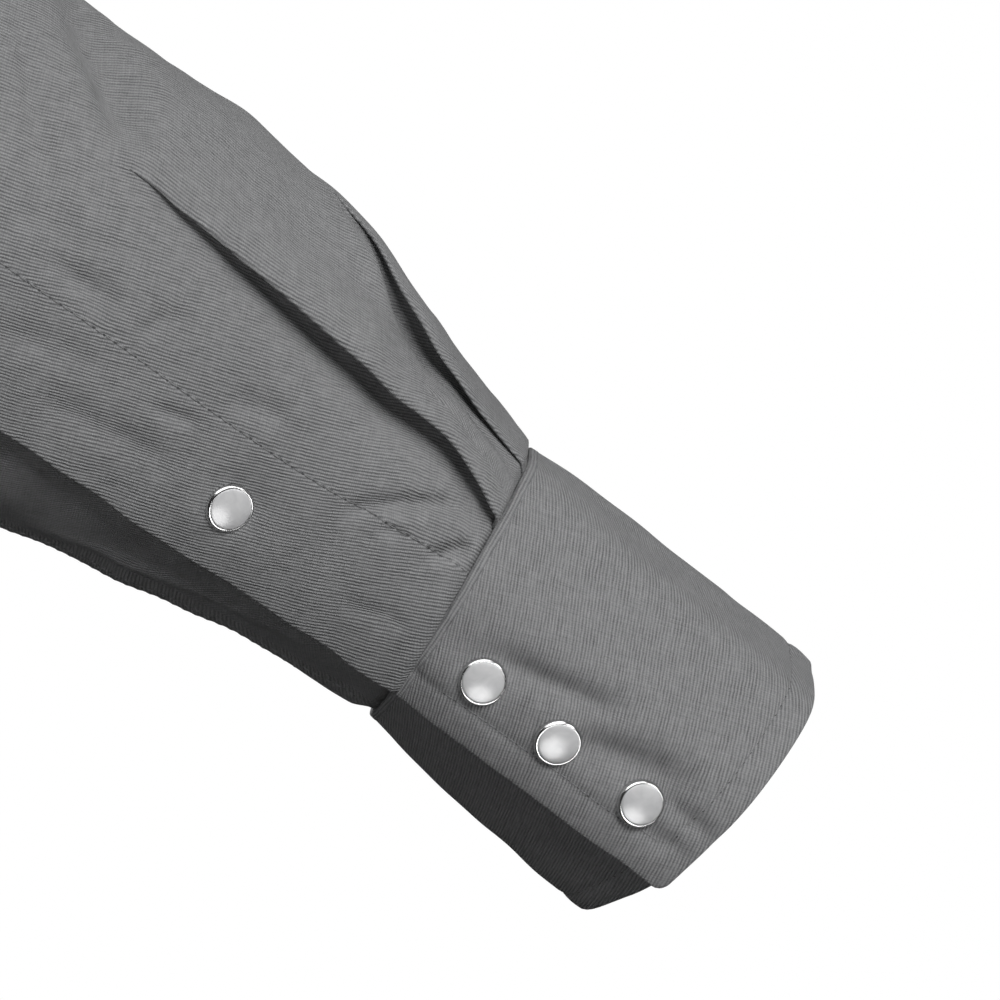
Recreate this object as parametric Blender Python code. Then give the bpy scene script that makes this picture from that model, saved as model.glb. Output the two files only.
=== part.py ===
"""A long-sleeved work shirt in grey cotton twill, hollow and filled out as if worn.

Metres, +Z up. The origin is the middle of the neck, between the two shoulder neck points.
The front faces -Y, the wearer's left is +X and the wearer's right is -X.
Each cloth piece is a surface given by a function of two places on it, made into a wall.
"""

import bpy
import numpy as np

# Cloth, seams and laps
CLOTH = 0.0010
CUFF_CLOTH = 0.0016
COLLAR_CLOTH = 0.0014
SEAM_GAP = 0.0003
SEAM_SETBACK = 0.0003
LAP_STEP = CLOTH + SEAM_GAP + 0.0002
BAND_STEP = LAP_STEP + 0.0002

# Body: how square its section is, and the hem's soft waves
BODY_BOXY = 0.05
BODY_BOXY_TOP = 0.7
BODY_BOXY_FADE = 0.3
HEM_WAVE = 0.0045
HEM_WAVE_TOP = 0.55
HEM_WAVE_COUNT = 8.0
HEM_WAVE_START = 25.0

# Front closure
BAND_WIDTH = 0.036
BAND_FOOT = 0.004
BAND_TOP = 0.994
FRONT_SNAP_COUNT = 6
FIRST_SNAP_HEIGHT = 0.20
LAST_SNAP_HEIGHT = 0.93

# Collar
COLLAR_CENTRE = (0.0, -0.008, 0.0)
STAND_TALL = 0.030
STAND_TALLER_BACK = 0.12
STAND_LEAN = 0.004
STAND_FOOT_GAP = 0.0014
STAND_LAP_STEP = LAP_STEP * 1.35
STAND_LAP_START = 20.0
STAND_LAP_SPAN = 50.0
STAND_SNAP_TILT = 0.13
LEAF_ROLL_OUT = 0.0062
LEAF_ROLL_UP = 0.0014
LEAF_ROLL_TOP = 0.0030
LEAF_ROLL_SHARE = 0.22
LEAF_TOP_SHARE = 0.30
LEAF_FALL_START = 0.15
LEAF_BULGE = 0.0035
LEAF_CLEAR = 0.0022
LEAF_END_ANGLE = 7.0
LEAF_EDGE_COLUMNS = ("name", "turn", "edge_turn", "edge_height")
LEAF_EDGE = (
    ("point",       7.0,  13.5, 0.892),
    ("front",      30.0,  32.0, 0.925),
    ("neck_side",  60.0,  64.0, 0.947),
    ("shoulder",   90.0,  92.0, 0.955),
    ("back_side", 130.0, 131.0, 0.957),
    ("back",      180.0, 180.0, 0.958),
)

# Arm: two straight runs and a soft bend at the elbow
ARMHOLE_CENTRE = (0.212, 0.0, -0.140)
UPPER_ARM = 0.285
FOREARM = 0.200
UPPER_DROP = 46.0
UPPER_FORWARD = -2.0
FORE_DROP = 37.4
FORE_FORWARD = 15.0
ELBOW_BLEND = 0.07
SLEEVE_LENGTH = UPPER_ARM + FOREARM
SLANT_FADE = 0.24
FIT_FADE = 0.09

# Armhole: a loop on the torso, by height and by angle from the side
ARMHOLE_MIDDLE = 0.77
ARMHOLE_HALF = 0.11
ARMHOLE_SPREAD = 29.0
ARMHOLE_STEP = 18.0
UNDERARM_CLEAR = 0.0016
UNDERARM_FADE = 0.06

# Cuff and sleeve placket
CUFF_DEEP = 0.082
CUFF_LAP_STEP = CUFF_CLOTH + SEAM_GAP + 0.0002
CUFF_STEP_START = 15.0
CUFF_STEP_SPAN = 70.0
CUFF_LIP = 0.0034
CUFF_LIP_START = -8.0
CUFF_UNDERLAP_END = 366.0
SLIT_ANGLE = -42.0
SLIT_HALF_GAP = 0.8
SLIT_TOP = 0.145
PLACKET_FOOT = 0.0012
PLACKET_LIP_START = -18.0
PLACKET_TOP = 0.165
SLEEVE_TUCK = 0.0006
SLEEVE_RISE_START = 10.0
SLEEVE_RISE_SPAN = 60.0
SLEEVE_RISE_FADE = 0.06

# Snaps
SNAP_RADIUS = 0.0057
SNAP_SEAT = 0.0003
SNAP_SIDES = 12
SNAP_COLUMNS = ("out", "up")
SNAP_PROFILE = (
    (1.00, 0.0000),
    (1.00, 0.0013),
    (0.86, 0.0020),
    (0.50, 0.0026),
)
CUFF_SNAPS_DOWN = (0.0162, 0.0392, 0.0632)
CUFF_SNAP_TURN = 22.2
PLACKET_SNAP_ABOVE = 0.0656
PLACKET_SNAP_ANGLE = -25.0

# Rings of the body from hem to neck
BODY_COLUMNS = ("name", "height", "half_width", "front", "back", "front_z", "side_z", "back_z")
BODY_RINGS = (
    ("hem",      0.00, 0.256, 0.146, 0.140, -0.755, -0.700, -0.765),
    ("hip",      0.16, 0.253, 0.140, 0.137, -0.640, -0.605, -0.645),
    ("waist",    0.38, 0.244, 0.131, 0.126, -0.462, -0.440, -0.460),
    ("chest",    0.58, 0.233, 0.130, 0.122, -0.312, -0.292, -0.305),
    ("underarm", 0.66, 0.227, 0.128, 0.119, -0.256, -0.238, -0.245),
    ("armhole",  0.77, 0.217, 0.121, 0.113, -0.190, -0.145, -0.168),
    ("tip",      0.88, 0.210, 0.106, 0.098, -0.130, -0.052, -0.092),
    ("slope",    0.94, 0.142, 0.085, 0.078, -0.090, -0.022, -0.046),
    ("neck",     1.00, 0.071, 0.068, 0.056, -0.060, -0.002, -0.018),
)

# Sizes across the arm: reach is the way from the armhole centre, lift is towards the outer side
ARM_COLUMNS = ("name", "reach", "lift", "across", "deep")
ARM_RINGS = (
    ("cap",        -0.080,  0.0000, 0.0560, 0.0640),
    ("armhole",     0.000,  0.0010, 0.0600, 0.0670),
    ("bicep",       0.090,  0.0040, 0.0660, 0.0680),
    ("upper",       0.180,  0.0010, 0.0670, 0.0640),
    ("elbow",       0.270, -0.0040, 0.0645, 0.0570),
    ("below",       0.341, -0.0020, 0.0612, 0.0520),
    ("wide",        0.365,  0.0003, 0.0600, 0.0500),
    ("calf",        0.386,  0.0018, 0.0565, 0.0485),
    ("pleated",     0.412,  0.0033, 0.0517, 0.0460),
    ("gathered",    0.440,  0.0029, 0.0450, 0.0425),
    ("cuff_seam",   0.485,  0.0000, 0.0364, 0.0364),
)

# Cuff by its depth from the seam
CUFF_COLUMNS = ("name", "down", "lift", "radius", "lap_angle")
CUFF_RINGS = (
    ("seam", 0.000,  0.0000, 0.0357, -45.7),
    ("half", 0.041, -0.0017, 0.0371, -40.8),
    ("hem",  0.082, -0.0033, 0.0382, -36.2),
)

# The cuff's ends are cut a little slanted: shift down the arm at the back and outer side
SEAM_SHIFT = (-0.0068, -0.0044)
HEM_SHIFT = (-0.0008, 0.0028)
SHIFT_FADE = 0.075

# Sleeve placket by its distance above the cuff seam. Its free edge stands out by the lip.
PLACKET_COLUMNS = ("name", "above", "free_angle", "sewn_angle", "lip")
PLACKET_EDGES = (
    ("seam",   0.000, -44.5,  6.5, 0.0030),
    ("lower",  0.055, -43.0, -3.8, 0.0030),
    ("middle", 0.115, -34.0, -2.5, 0.0026),
    ("top",    0.165, -30.0,  0.5, 0.0010),
)

# Pleats: fold edge, cloth lying back under it, and how far the fold stands out
PLEAT_COLUMNS = ("name", "above", "angle", "under", "rise")
PLEATS = (
    (
        ("seam",  0.000, 28.0, 0.0110, 0.0028),
        ("low",   0.035, 28.5, 0.0090, 0.0036),
        ("mid",   0.070, 27.5, 0.0050, 0.0042),
        ("high",  0.100, 28.5, 0.0020, 0.0026),
        ("head",  0.130, 32.0, 0.0000, 0.0000),
    ),
    (
        ("seam",  0.000, 58.0, 0.0105, 0.0028),
        ("low",   0.030, 53.0, 0.0085, 0.0036),
        ("mid",   0.055, 55.5, 0.0045, 0.0040),
        ("high",  0.080, 66.0, 0.0016, 0.0024),
        ("head",  0.105, 72.0, 0.0000, 0.0000),
    ),
)
PLEAT_BEFORE = 0.0075
PLEAT_AFTER = 0.0085
PLEAT_TURN_GAP = 0.8
PLEAT_BETWEEN = 0.6

# One pleat across: share of its cloth, place over the fold depth, height over the rise
PLEAT_SECTION_COLUMNS = ("share", "before", "under", "after", "height")
PLEAT_SECTION = (
    (0.00, -1.0, 0.00, 0.0, 0.00),
    (0.17,  0.0, 0.25, 0.0, 0.00),
    (0.34,  0.0, 0.95, 0.0, 0.04),
    (0.42,  0.0, 1.05, 0.0, 0.28),
    (0.50,  0.0, 0.80, 0.0, 0.50),
    (0.64,  0.0, 0.12, 0.0, 0.52),
    (0.70,  0.0, 0.00, 0.0, 0.76),
    (0.78,  0.0, 0.14, 0.0, 1.00),
    (1.00,  0.0, 1.00, 1.0, 0.12),
)

# Broad folds: where each starts and ends on the piece, its half width and its depth
FOLD_COLUMNS = ("name", "start_turn", "start_way", "end_turn", "end_way", "half_width", "depth")
BODY_FOLDS = (
    ("left_side_front",   62.0, 0.02,  78.0, 0.50, 0.030, 0.0080),
    ("left_side_back",   112.0, 0.00,  98.0, 0.46, 0.030, 0.0080),
    ("right_side_front", -60.0, 0.00, -77.0, 0.47, 0.030, 0.0080),
    ("right_side_back", -114.0, 0.03, -99.0, 0.50, 0.030, 0.0080),
    ("left_chest",        52.0, 0.60,  26.0, 0.46, 0.026, 0.0060),
    ("right_chest",      -52.0, 0.60, -24.0, 0.48, 0.026, 0.0060),
    ("left_blade",       128.0, 0.60, 156.0, 0.46, 0.028, 0.0060),
    ("right_blade",     -128.0, 0.60, -154.0, 0.44, 0.028, 0.0060),
    ("back_middle",      172.0, 0.00, 178.0, 0.40, 0.032, 0.0060),
)
ARM_FOLDS = (
    ("front_elbow", 200.0, 0.245, 120.0, 0.285, 0.014, 0.0050),
    ("inner_elbow", 228.0, 0.290, 150.0, 0.325, 0.013, 0.0040),
    ("under_cap",   235.0, 0.090, 190.0, 0.170, 0.018, 0.0060),
    ("back_upper",   20.0, 0.110,  70.0, 0.200, 0.018, 0.0050),
)
METRES_PER_DEGREE_BODY = 0.0034
METRES_PER_HEIGHT = 0.76
METRES_PER_DEGREE_ARM = 0.0010

# Rows and columns of the grids, and the small steps that find a surface's normal
NORMAL_TURN = 0.4
NORMAL_WAY = 0.0015
BODY_ROWS_BELOW = 9
BODY_ROWS_ABOVE = 5
BACK_POINTS = 19
FRONT_POINTS = 8
BAND_ROWS = 26
BAND_POINTS = 3
COLLAR_POINTS = 29
STAND_ROWS = 3
LEAF_ROWS = (0.0, 0.08, 0.15, 0.24, 0.45, 0.72, 1.0)
SLEEVE_ROWS_DOWN = (0.0010, 0.018, 0.042, 0.078, 0.120, 0.165, 0.210, 0.250, 0.290)
SLEEVE_ROWS_ABOVE = (0.160, SLIT_TOP, 0.122, 0.098, 0.074, 0.050, 0.028, 0.010, 0.0)
SLEEVE_POINTS_OVER = 5
SLEEVE_POINTS_REST = 15
PLACKET_ROWS = 15
PLACKET_POINTS = 8
CUFF_ROWS = 4
CUFF_POINTS = 29

TWILL_GREY = (0.200, 0.200, 0.202)
SNAP_SILVER = (0.72, 0.72, 0.73)


def clear_scene():
    for scene_object in list(bpy.data.objects):
        bpy.data.objects.remove(scene_object, do_unlink=True)


def make_material(name, colour, roughness, metallic):
    material = bpy.data.materials.new(name)
    material.use_nodes = True
    shader = material.node_tree.nodes["Principled BSDF"]
    shader.inputs["Base Color"].default_value = (*colour, 1.0)
    shader.inputs["Roughness"].default_value = roughness
    shader.inputs["Metallic"].default_value = metallic
    material.diffuse_color = (*colour, 1.0)
    return material


def ease(share):
    share = np.clip(share, 0.0, 1.0)
    return share * share * (3.0 - 2.0 * share)


def read_table(rows, columns, wanted, place):
    """One column of a table at a place, on a smooth curve through its rows."""
    at = np.array([row[1] for row in rows])
    value = np.array([row[columns.index(wanted)] for row in rows])
    slope = np.gradient(value, at)
    place = np.clip(place, at[0], at[-1])
    low = np.clip(np.searchsorted(at, place, side="right") - 1, 0, len(at) - 2)
    span = at[low + 1] - at[low]
    t = (place - at[low]) / span
    start = (2 * t**3 - 3 * t**2 + 1) * value[low] + (t**3 - 2 * t**2 + t) * span * slope[low]
    end = (3 * t**2 - 2 * t**3) * value[low + 1] + (t**3 - t**2) * span * slope[low + 1]
    return start + end


def body_size(wanted, height):
    return read_table(BODY_RINGS, BODY_COLUMNS, wanted, height)


def arm_size(wanted, reach):
    return read_table(ARM_RINGS, ARM_COLUMNS, wanted, reach)


def fold_sum(folds, turn, way, per_turn, per_way):
    """Depth of all broad folds at a place: soft troughs that fade at both ends."""
    total = np.zeros(np.broadcast(turn, way).shape)
    for row in folds:
        fold = dict(zip(FOLD_COLUMNS, row))
        along_x = (fold["end_turn"] - fold["start_turn"]) * per_turn
        along_y = (fold["end_way"] - fold["start_way"]) * per_way
        length = np.hypot(along_x, along_y)
        from_x = (turn - fold["start_turn"]) * per_turn
        from_y = (way - fold["start_way"]) * per_way
        share = (from_x * along_x + from_y * along_y) / length**2
        aside = (from_x * along_y - from_y * along_x) / length
        fade = ease(share * 3.0 + 0.3) * ease((1.0 - share) * 3.0 + 0.3)
        total = total + fold["depth"] * np.exp(-((aside / fold["half_width"]) ** 2)) * fade
    return total


def torso(turn, height):
    """A place on the body: turn 0 is the front middle, 90 the wearer's left, 180 the back."""
    turn = np.asarray(turn, dtype=float)
    height = np.asarray(height, dtype=float)
    sine = np.sin(np.radians(turn))
    cosine = np.cos(np.radians(turn))
    in_front = cosine > 0
    level = cosine**2
    square = np.sin(2 * np.radians(turn)) ** 2 * (1.0 - ease((height - BODY_BOXY_TOP) / BODY_BOXY_FADE))
    signed_turn = (turn + 180.0) % 360.0 - 180.0
    fold = fold_sum(BODY_FOLDS, signed_turn, height, METRES_PER_DEGREE_BODY, METRES_PER_HEIGHT)
    wave = np.cos(np.radians(HEM_WAVE_COUNT * turn + HEM_WAVE_START))
    drape = HEM_WAVE * (1.0 - ease(height / HEM_WAVE_TOP)) * wave
    reach = 1.0 + BODY_BOXY * square + (drape - fold) / body_size("half_width", height)
    depth = np.where(in_front, body_size("front", height), body_size("back", height))
    middle_z = np.where(in_front, body_size("front_z", height), body_size("back_z", height))
    x = body_size("half_width", height) * sine * reach
    y = -depth * cosine * reach
    z = body_size("side_z", height) * (1.0 - level) + middle_z * level
    return np.stack([x, y, z], axis=-1)


def direction(drop, forward):
    drop = np.radians(drop)
    forward = np.radians(forward)
    return np.array([
        np.cos(drop) * np.cos(forward),
        -np.sin(forward),
        -np.sin(drop) * np.cos(forward),
    ])


def unit(vectors):
    return vectors / np.linalg.norm(vectors, axis=-1, keepdims=True)


UPPER_WAY = direction(UPPER_DROP, UPPER_FORWARD)
FORE_WAY = direction(FORE_DROP, FORE_FORWARD)
ELBOW = np.array(ARMHOLE_CENTRE) + UPPER_ARM * UPPER_WAY


def arm_line(reach):
    """Middle of the arm and its direction at a way from the armhole centre."""
    reach = np.asarray(reach, dtype=float)[..., None]
    upper = np.array(ARMHOLE_CENTRE) + reach * UPPER_WAY
    fore = ELBOW + (reach - UPPER_ARM) * FORE_WAY
    t = np.clip((reach - UPPER_ARM + ELBOW_BLEND) / (2 * ELBOW_BLEND), 0.0, 1.0)
    bend_start = ELBOW - ELBOW_BLEND * UPPER_WAY
    bend_end = ELBOW + ELBOW_BLEND * FORE_WAY
    bend = (1 - t) ** 2 * bend_start + 2 * t * (1 - t) * ELBOW + t**2 * bend_end
    middle = np.where(t <= 0, upper, np.where(t >= 1, fore, bend))
    return middle, unit((1 - t) * UPPER_WAY + t * FORE_WAY)


def arm_frame(way):
    """Two directions across the arm: towards the back, and towards the outer side."""
    back = np.array([0.0, 1.0, 0.0]) - way[..., 1:2] * way
    back = unit(back)
    outer = np.cross(way, back)
    return back, outer


def armhole_corner(number):
    """A corner of the armhole loop on the wearer's left, by its number round the arm."""
    turn = np.radians(number * ARMHOLE_STEP)
    height = ARMHOLE_MIDDLE + ARMHOLE_HALF * np.sin(turn)
    return torso(90.0 + ARMHOLE_SPREAD * np.cos(turn), height)


def armhole(turn):
    """The armhole loop by the turn round the arm, straight between its corners."""
    place = np.asarray(turn, dtype=float) / ARMHOLE_STEP
    number = np.floor(place)
    share = (place - number)[..., None]
    return armhole_corner(number) * (1.0 - share) + armhole_corner(number + 1.0) * share


def slanted(shift, turn):
    """How far a slanted cuff end lies down the arm from a square one."""
    angle = np.radians(turn)
    return shift[0] * np.cos(angle) + shift[1] * np.sin(angle)


def arm_ring(turn, reach, out=0.0):
    """A place on the arm's tube: turn 0 is the back, 90 the outer side, 180 the front."""
    middle, way = arm_line(reach)
    back, outer = arm_frame(way)
    angle = np.radians(turn)
    fold = fold_sum(ARM_FOLDS, turn % 360.0, reach, METRES_PER_DEGREE_ARM, 1.0)
    deep = (arm_size("deep", reach) - fold + out) * np.cos(angle)
    across = (arm_size("across", reach) - fold + out) * np.sin(angle) + arm_size("lift", reach)
    return middle + deep[..., None] * back + across[..., None] * outer


def sleeve(turn, reach, out=0.0):
    """A place on the sleeve: it starts on the armhole loop and straightens down the arm."""
    turn = np.asarray(turn, dtype=float)
    reach = np.asarray(reach, dtype=float)
    start = armhole(turn)
    slant = (start - np.array(ARMHOLE_CENTRE)) @ UPPER_WAY
    near_cuff = 1.0 - ease((SLEEVE_LENGTH - reach) / SHIFT_FADE)
    skewed = reach + (1.0 - ease(reach / SLANT_FADE)) * slant + slanted(SEAM_SHIFT, turn) * near_cuff
    fitted = (start - arm_ring(turn, slant)) * (1.0 - ease(reach / FIT_FADE))[..., None]
    return arm_ring(turn, skewed, out) + fitted


def cuff(turn, down, out=0.0):
    """A place on the cuff, whose outer end laps over the inner end a full turn on."""
    turn = np.asarray(turn, dtype=float)
    down = np.asarray(down, dtype=float)
    share = down / CUFF_DEEP
    shift = slanted(SEAM_SHIFT, turn) * (1.0 - share) + slanted(HEM_SHIFT, turn) * share
    middle, way = arm_line(SLEEVE_LENGTH + down + shift)
    back, outer = arm_frame(way)
    lap = read_table(CUFF_RINGS, CUFF_COLUMNS, "lap_angle", down)
    step = CUFF_LAP_STEP * (1.0 - ease((turn - CUFF_STEP_START) / CUFF_STEP_SPAN))
    lip = CUFF_LIP * np.clip((CUFF_LIP_START - turn) / (CUFF_LIP_START - lap), 0.0, 1.0) ** 2
    radius = read_table(CUFF_RINGS, CUFF_COLUMNS, "radius", down) + step + lip + out
    lift = read_table(CUFF_RINGS, CUFF_COLUMNS, "lift", down)
    angle = np.radians(turn)
    deep = radius * np.cos(angle)
    across = radius * np.sin(angle) + lift
    return middle + deep[..., None] * back + across[..., None] * outer


def moved_out(surface, first, second, out):
    """Places on a surface, moved out along its normal."""
    first = np.asarray(first, dtype=float)
    second = np.asarray(second, dtype=float)
    along = surface(first + NORMAL_TURN, second) - surface(first - NORMAL_TURN, second)
    down = surface(first, second + NORMAL_WAY) - surface(first, second - NORMAL_WAY)
    normal = unit(np.cross(along, down))
    return surface(first, second) + np.asarray(out)[..., None] * normal


def wall(name, points, thickness, material, mirrored=False, joined_rows=0):
    """A cloth wall on a grid of points. The first rows may close into a tube."""
    points = np.array(points)
    if mirrored:
        points[..., 0] *= -1.0
    row_count, column_count = points.shape[:2]
    index = np.arange(row_count * column_count).reshape(row_count, column_count)
    index[:joined_rows, -1] = index[:joined_rows, 0]
    faces = []
    for row in range(row_count - 1):
        for column in range(column_count - 1):
            corner = (
                index[row, column],
                index[row, column + 1],
                index[row + 1, column + 1],
                index[row + 1, column],
            )
            if mirrored:
                corner = corner[::-1]
            faces.append([int(one) for one in corner])
    used = sorted({one for face in faces for one in face})
    new_index = {old: new for new, old in enumerate(used)}
    flat = points.reshape(-1, 3)
    mesh = bpy.data.meshes.new(name)
    mesh.from_pydata(
        [tuple(flat[old]) for old in used],
        [],
        [[new_index[one] for one in face] for face in faces],
    )
    mesh.shade_smooth()
    mesh.materials.append(material)
    piece = bpy.data.objects.new(name, mesh)
    bpy.context.scene.collection.objects.link(piece)
    solid = piece.modifiers.new("wall", "SOLIDIFY")
    solid.thickness = thickness
    solid.offset = 0.0
    return piece


def snap(name, seat, normal, material):
    """A snap cap: a low dome in a rolled rim, turned round its own axis."""
    normal = unit(np.array(normal))
    side = unit(np.cross(normal, (0.0, 0.0, 1.0)))
    other = np.cross(normal, side)
    base = np.array(seat) + SNAP_SEAT * normal
    points = []
    for row in SNAP_PROFILE:
        place = dict(zip(SNAP_COLUMNS, row))
        for step in range(SNAP_SIDES):
            angle = 2 * np.pi * step / SNAP_SIDES
            round_place = np.cos(angle) * side + np.sin(angle) * other
            points.append(base + SNAP_RADIUS * place["out"] * round_place + place["up"] * normal)
    faces = [list(reversed(range(SNAP_SIDES)))]
    for ring in range(len(SNAP_PROFILE) - 1):
        for step in range(SNAP_SIDES):
            after = (step + 1) % SNAP_SIDES
            low = ring * SNAP_SIDES
            high = low + SNAP_SIDES
            faces.append([low + step, low + after, high + after, high + step])
    top = (len(SNAP_PROFILE) - 1) * SNAP_SIDES
    faces.append([top + step for step in range(SNAP_SIDES)])
    mesh = bpy.data.meshes.new(name)
    mesh.from_pydata([tuple(point) for point in points], [], faces)
    mesh.shade_smooth()
    mesh.materials.append(material)
    piece = bpy.data.objects.new(name, mesh)
    bpy.context.scene.collection.objects.link(piece)
    return piece


def lap_half_angle(height):
    """Half the lap's width at the front, as a turn round the body."""
    return np.degrees(np.arcsin(BAND_WIDTH / 2 / body_size("half_width", height)))


def body_heights():
    below = np.linspace(0.0, ARMHOLE_MIDDLE - ARMHOLE_HALF, BODY_ROWS_BELOW)
    turn = np.radians(np.arange(-90.0, 91.0, ARMHOLE_STEP))
    loop = ARMHOLE_MIDDLE + ARMHOLE_HALF * np.sin(turn)
    above = np.linspace(ARMHOLE_MIDDLE + ARMHOLE_HALF, 1.0, BODY_ROWS_ABOVE)
    return np.concatenate([below[:-1], loop, above[1:]])


def side_turn(height, towards_back):
    """Where a body piece ends at the side: seam, then armhole, then shoulder seam."""
    sine = np.clip((height - ARMHOLE_MIDDLE) / ARMHOLE_HALF, -1.0, 1.0)
    opening = ARMHOLE_SPREAD * np.sqrt(1.0 - sine**2)
    setback = np.degrees(SEAM_SETBACK / body_size("front", height))
    widened = setback * (1.0 + 1.6 * (opening > 0.5))
    return 90.0 + opening + widened if towards_back else 90.0 - opening - widened


def make_back(material):
    heights = body_heights()[:, None]
    share = np.linspace(-1.0, 1.0, BACK_POINTS)[None, :]
    turn = 180.0 + (180.0 - side_turn(heights, True)) * share
    wall("back", torso(turn, heights), CLOTH, material)


def make_fronts(material):
    heights = body_heights()[:, None]
    share = np.linspace(0.0, 1.0, FRONT_POINTS)[None, 1:]
    lap = lap_half_angle(heights)
    edge = side_turn(heights, False)
    left_turn = np.hstack([-lap, 0.0 * lap, lap, lap + (edge - lap) * share])
    wall("front_left", torso(left_turn, heights), CLOTH, material)
    right_turn = -left_turn[:, ::-1]
    tucked = -LAP_STEP * ease((right_turn + 3 * lap) / (2 * lap))
    wall("front_right", moved_out(torso, right_turn, heights, tucked), CLOTH, material)
    band_heights = np.linspace(BAND_FOOT, BAND_TOP, BAND_ROWS)[:, None]
    band_lap = lap_half_angle(band_heights)
    band_turn = band_lap * np.linspace(-1.0, 1.0, BAND_POINTS)[None, :]
    band = moved_out(torso, band_turn, band_heights, BAND_STEP)
    wall("front_band", band, CLOTH, material)


def collar_stand(turn, rise):
    """A place on the stand: its left end laps over the right end a full turn on."""
    turn = np.asarray(turn, dtype=float)
    foot = torso(turn, np.ones_like(turn))
    outward = foot * np.array([1.0, 1.0, 0.0])
    outward = unit(outward - np.array(COLLAR_CENTRE))
    step = STAND_LAP_STEP * (1.0 - ease((turn - STAND_LAP_START) / STAND_LAP_SPAN))
    tall = STAND_TALL * (1.0 - STAND_TALLER_BACK * np.cos(np.radians(turn)))
    lean = STAND_LEAN * rise
    up = np.array([0.0, 0.0, 1.0])
    out_part = (step - lean)[..., None] * outward
    return foot + out_part + (STAND_FOOT_GAP + tall * rise)[..., None] * up


def collar_leaf(turn, across):
    """A place on the leaf: it rolls over the stand's top and falls to the shoulders."""
    turn = np.asarray(turn, dtype=float)
    across = np.asarray(across, dtype=float)
    top = collar_stand(turn, np.ones_like(turn))
    outward = unit(top * np.array([1.0, 1.0, 0.0]) - np.array(COLLAR_CENTRE))
    signed = (turn + 180.0) % 360.0 - 180.0
    edge_height = read_table(LEAF_EDGE, LEAF_EDGE_COLUMNS, "edge_height", np.abs(signed))
    edge_turn = read_table(LEAF_EDGE, LEAF_EDGE_COLUMNS, "edge_turn", np.abs(signed))
    edge_turn = edge_turn * np.sign(signed)
    edge = moved_out(torso, edge_turn, edge_height, LEAF_CLEAR + CLOTH)
    up = np.array([0.0, 0.0, 1.0])
    roll_out = LEAF_ROLL_OUT * ease(across / LEAF_ROLL_SHARE)
    over_top = np.sin(np.pi * np.clip(across / LEAF_TOP_SHARE, 0.0, 1.0))
    roll_up = LEAF_ROLL_UP + LEAF_ROLL_TOP * over_top
    start = top + roll_out[..., None] * outward + roll_up[..., None] * up
    fall = np.clip((across - LEAF_FALL_START) / (1.0 - LEAF_FALL_START), 0.0, 1.0)
    bulge = LEAF_BULGE * np.sin(np.pi * fall)
    return start + (edge - start) * fall[..., None] + bulge[..., None] * outward


def make_collar(material):
    lap = float(lap_half_angle(np.array(1.0)))
    turn = np.linspace(-lap, 360.0 + lap, COLLAR_POINTS)[None, :]
    rise = np.linspace(1.0, 0.0, STAND_ROWS)[:, None]
    turn_grid, rise_grid = np.broadcast_arrays(turn, rise)
    wall("collar_stand", collar_stand(turn_grid, rise_grid), CLOTH, material)
    leaf_turn = np.linspace(LEAF_END_ANGLE, 360.0 - LEAF_END_ANGLE, COLLAR_POINTS)[None, :]
    across = np.array(LEAF_ROWS)[:, None]
    turn_grid, across_grid = np.broadcast_arrays(leaf_turn, across)
    wall("collar_leaf", collar_leaf(turn_grid, across_grid), COLLAR_CLOTH, material)


def pleat_places(pleat, above):
    """Turn and outward step of each column of one pleat at one way above the cuff."""
    angle = read_table(pleat, PLEAT_COLUMNS, "angle", above)
    under = read_table(pleat, PLEAT_COLUMNS, "under", above)
    rise = read_table(pleat, PLEAT_COLUMNS, "rise", above)
    seam_under = pleat[0][PLEAT_COLUMNS.index("under")]
    folded = under / seam_under
    reach = SLEEVE_LENGTH - above
    size = arm_size("across", reach)
    whole = PLEAT_BEFORE + seam_under + PLEAT_AFTER
    places = []
    for row in PLEAT_SECTION:
        place = dict(zip(PLEAT_SECTION_COLUMNS, row))
        laid = place["before"] * PLEAT_BEFORE + place["after"] * PLEAT_AFTER
        laid = laid + place["under"] * seam_under
        flat = -PLEAT_BEFORE + whole * place["share"]
        way = laid * folded + flat * (1.0 - folded)
        places.append((angle + np.degrees(way / size), place["height"] * rise))
    return places


def sleeve_columns(above):
    """Turn and outward step of every column of the sleeve at one way above the cuff."""
    first = pleat_places(PLEATS[0], above)
    second = pleat_places(PLEATS[1], above)
    opened = SLIT_HALF_GAP * float(above < SLIT_TOP)
    slit = SLIT_ANGLE + opened
    before = [(turn, 0.0) for turn in np.linspace(slit, first[0][0], SLEEVE_POINTS_OVER)[:-1]]
    rest_end = SLIT_ANGLE + 360.0 - opened
    rest = [(turn, 0.0) for turn in np.linspace(second[-1][0], rest_end, SLEEVE_POINTS_REST)[1:]]
    if second[0][0] < first[-1][0]:
        middle_turn = 0.5 * (second[0][0] + first[-1][0])
        first[-1] = (middle_turn - PLEAT_TURN_GAP, first[-1][1])
        second[0] = (middle_turn + PLEAT_TURN_GAP, first[-1][1] * PLEAT_BETWEEN)
    return before + first + second + rest


def underarm_tuck(turn, reach):
    """The sleeve starts a little inside the armhole underneath, where it meets the body sharply."""
    below = np.clip(-np.sin(np.radians(turn)), 0.0, 1.0)
    return UNDERARM_CLEAR * below * (1.0 - ease(reach / UNDERARM_FADE))


def lap_rise(turn, above):
    """The overlap side of the sleeve stands out with the cuff's outer end near the seam."""
    near = 1.0 - ease(above / SLEEVE_RISE_FADE)
    over = (1.0 - ease((turn - SLEEVE_RISE_START) / SLEEVE_RISE_SPAN)) * (turn < 180.0)
    return (CUFF_LAP_STEP - SLEEVE_TUCK) * near * over


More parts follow.
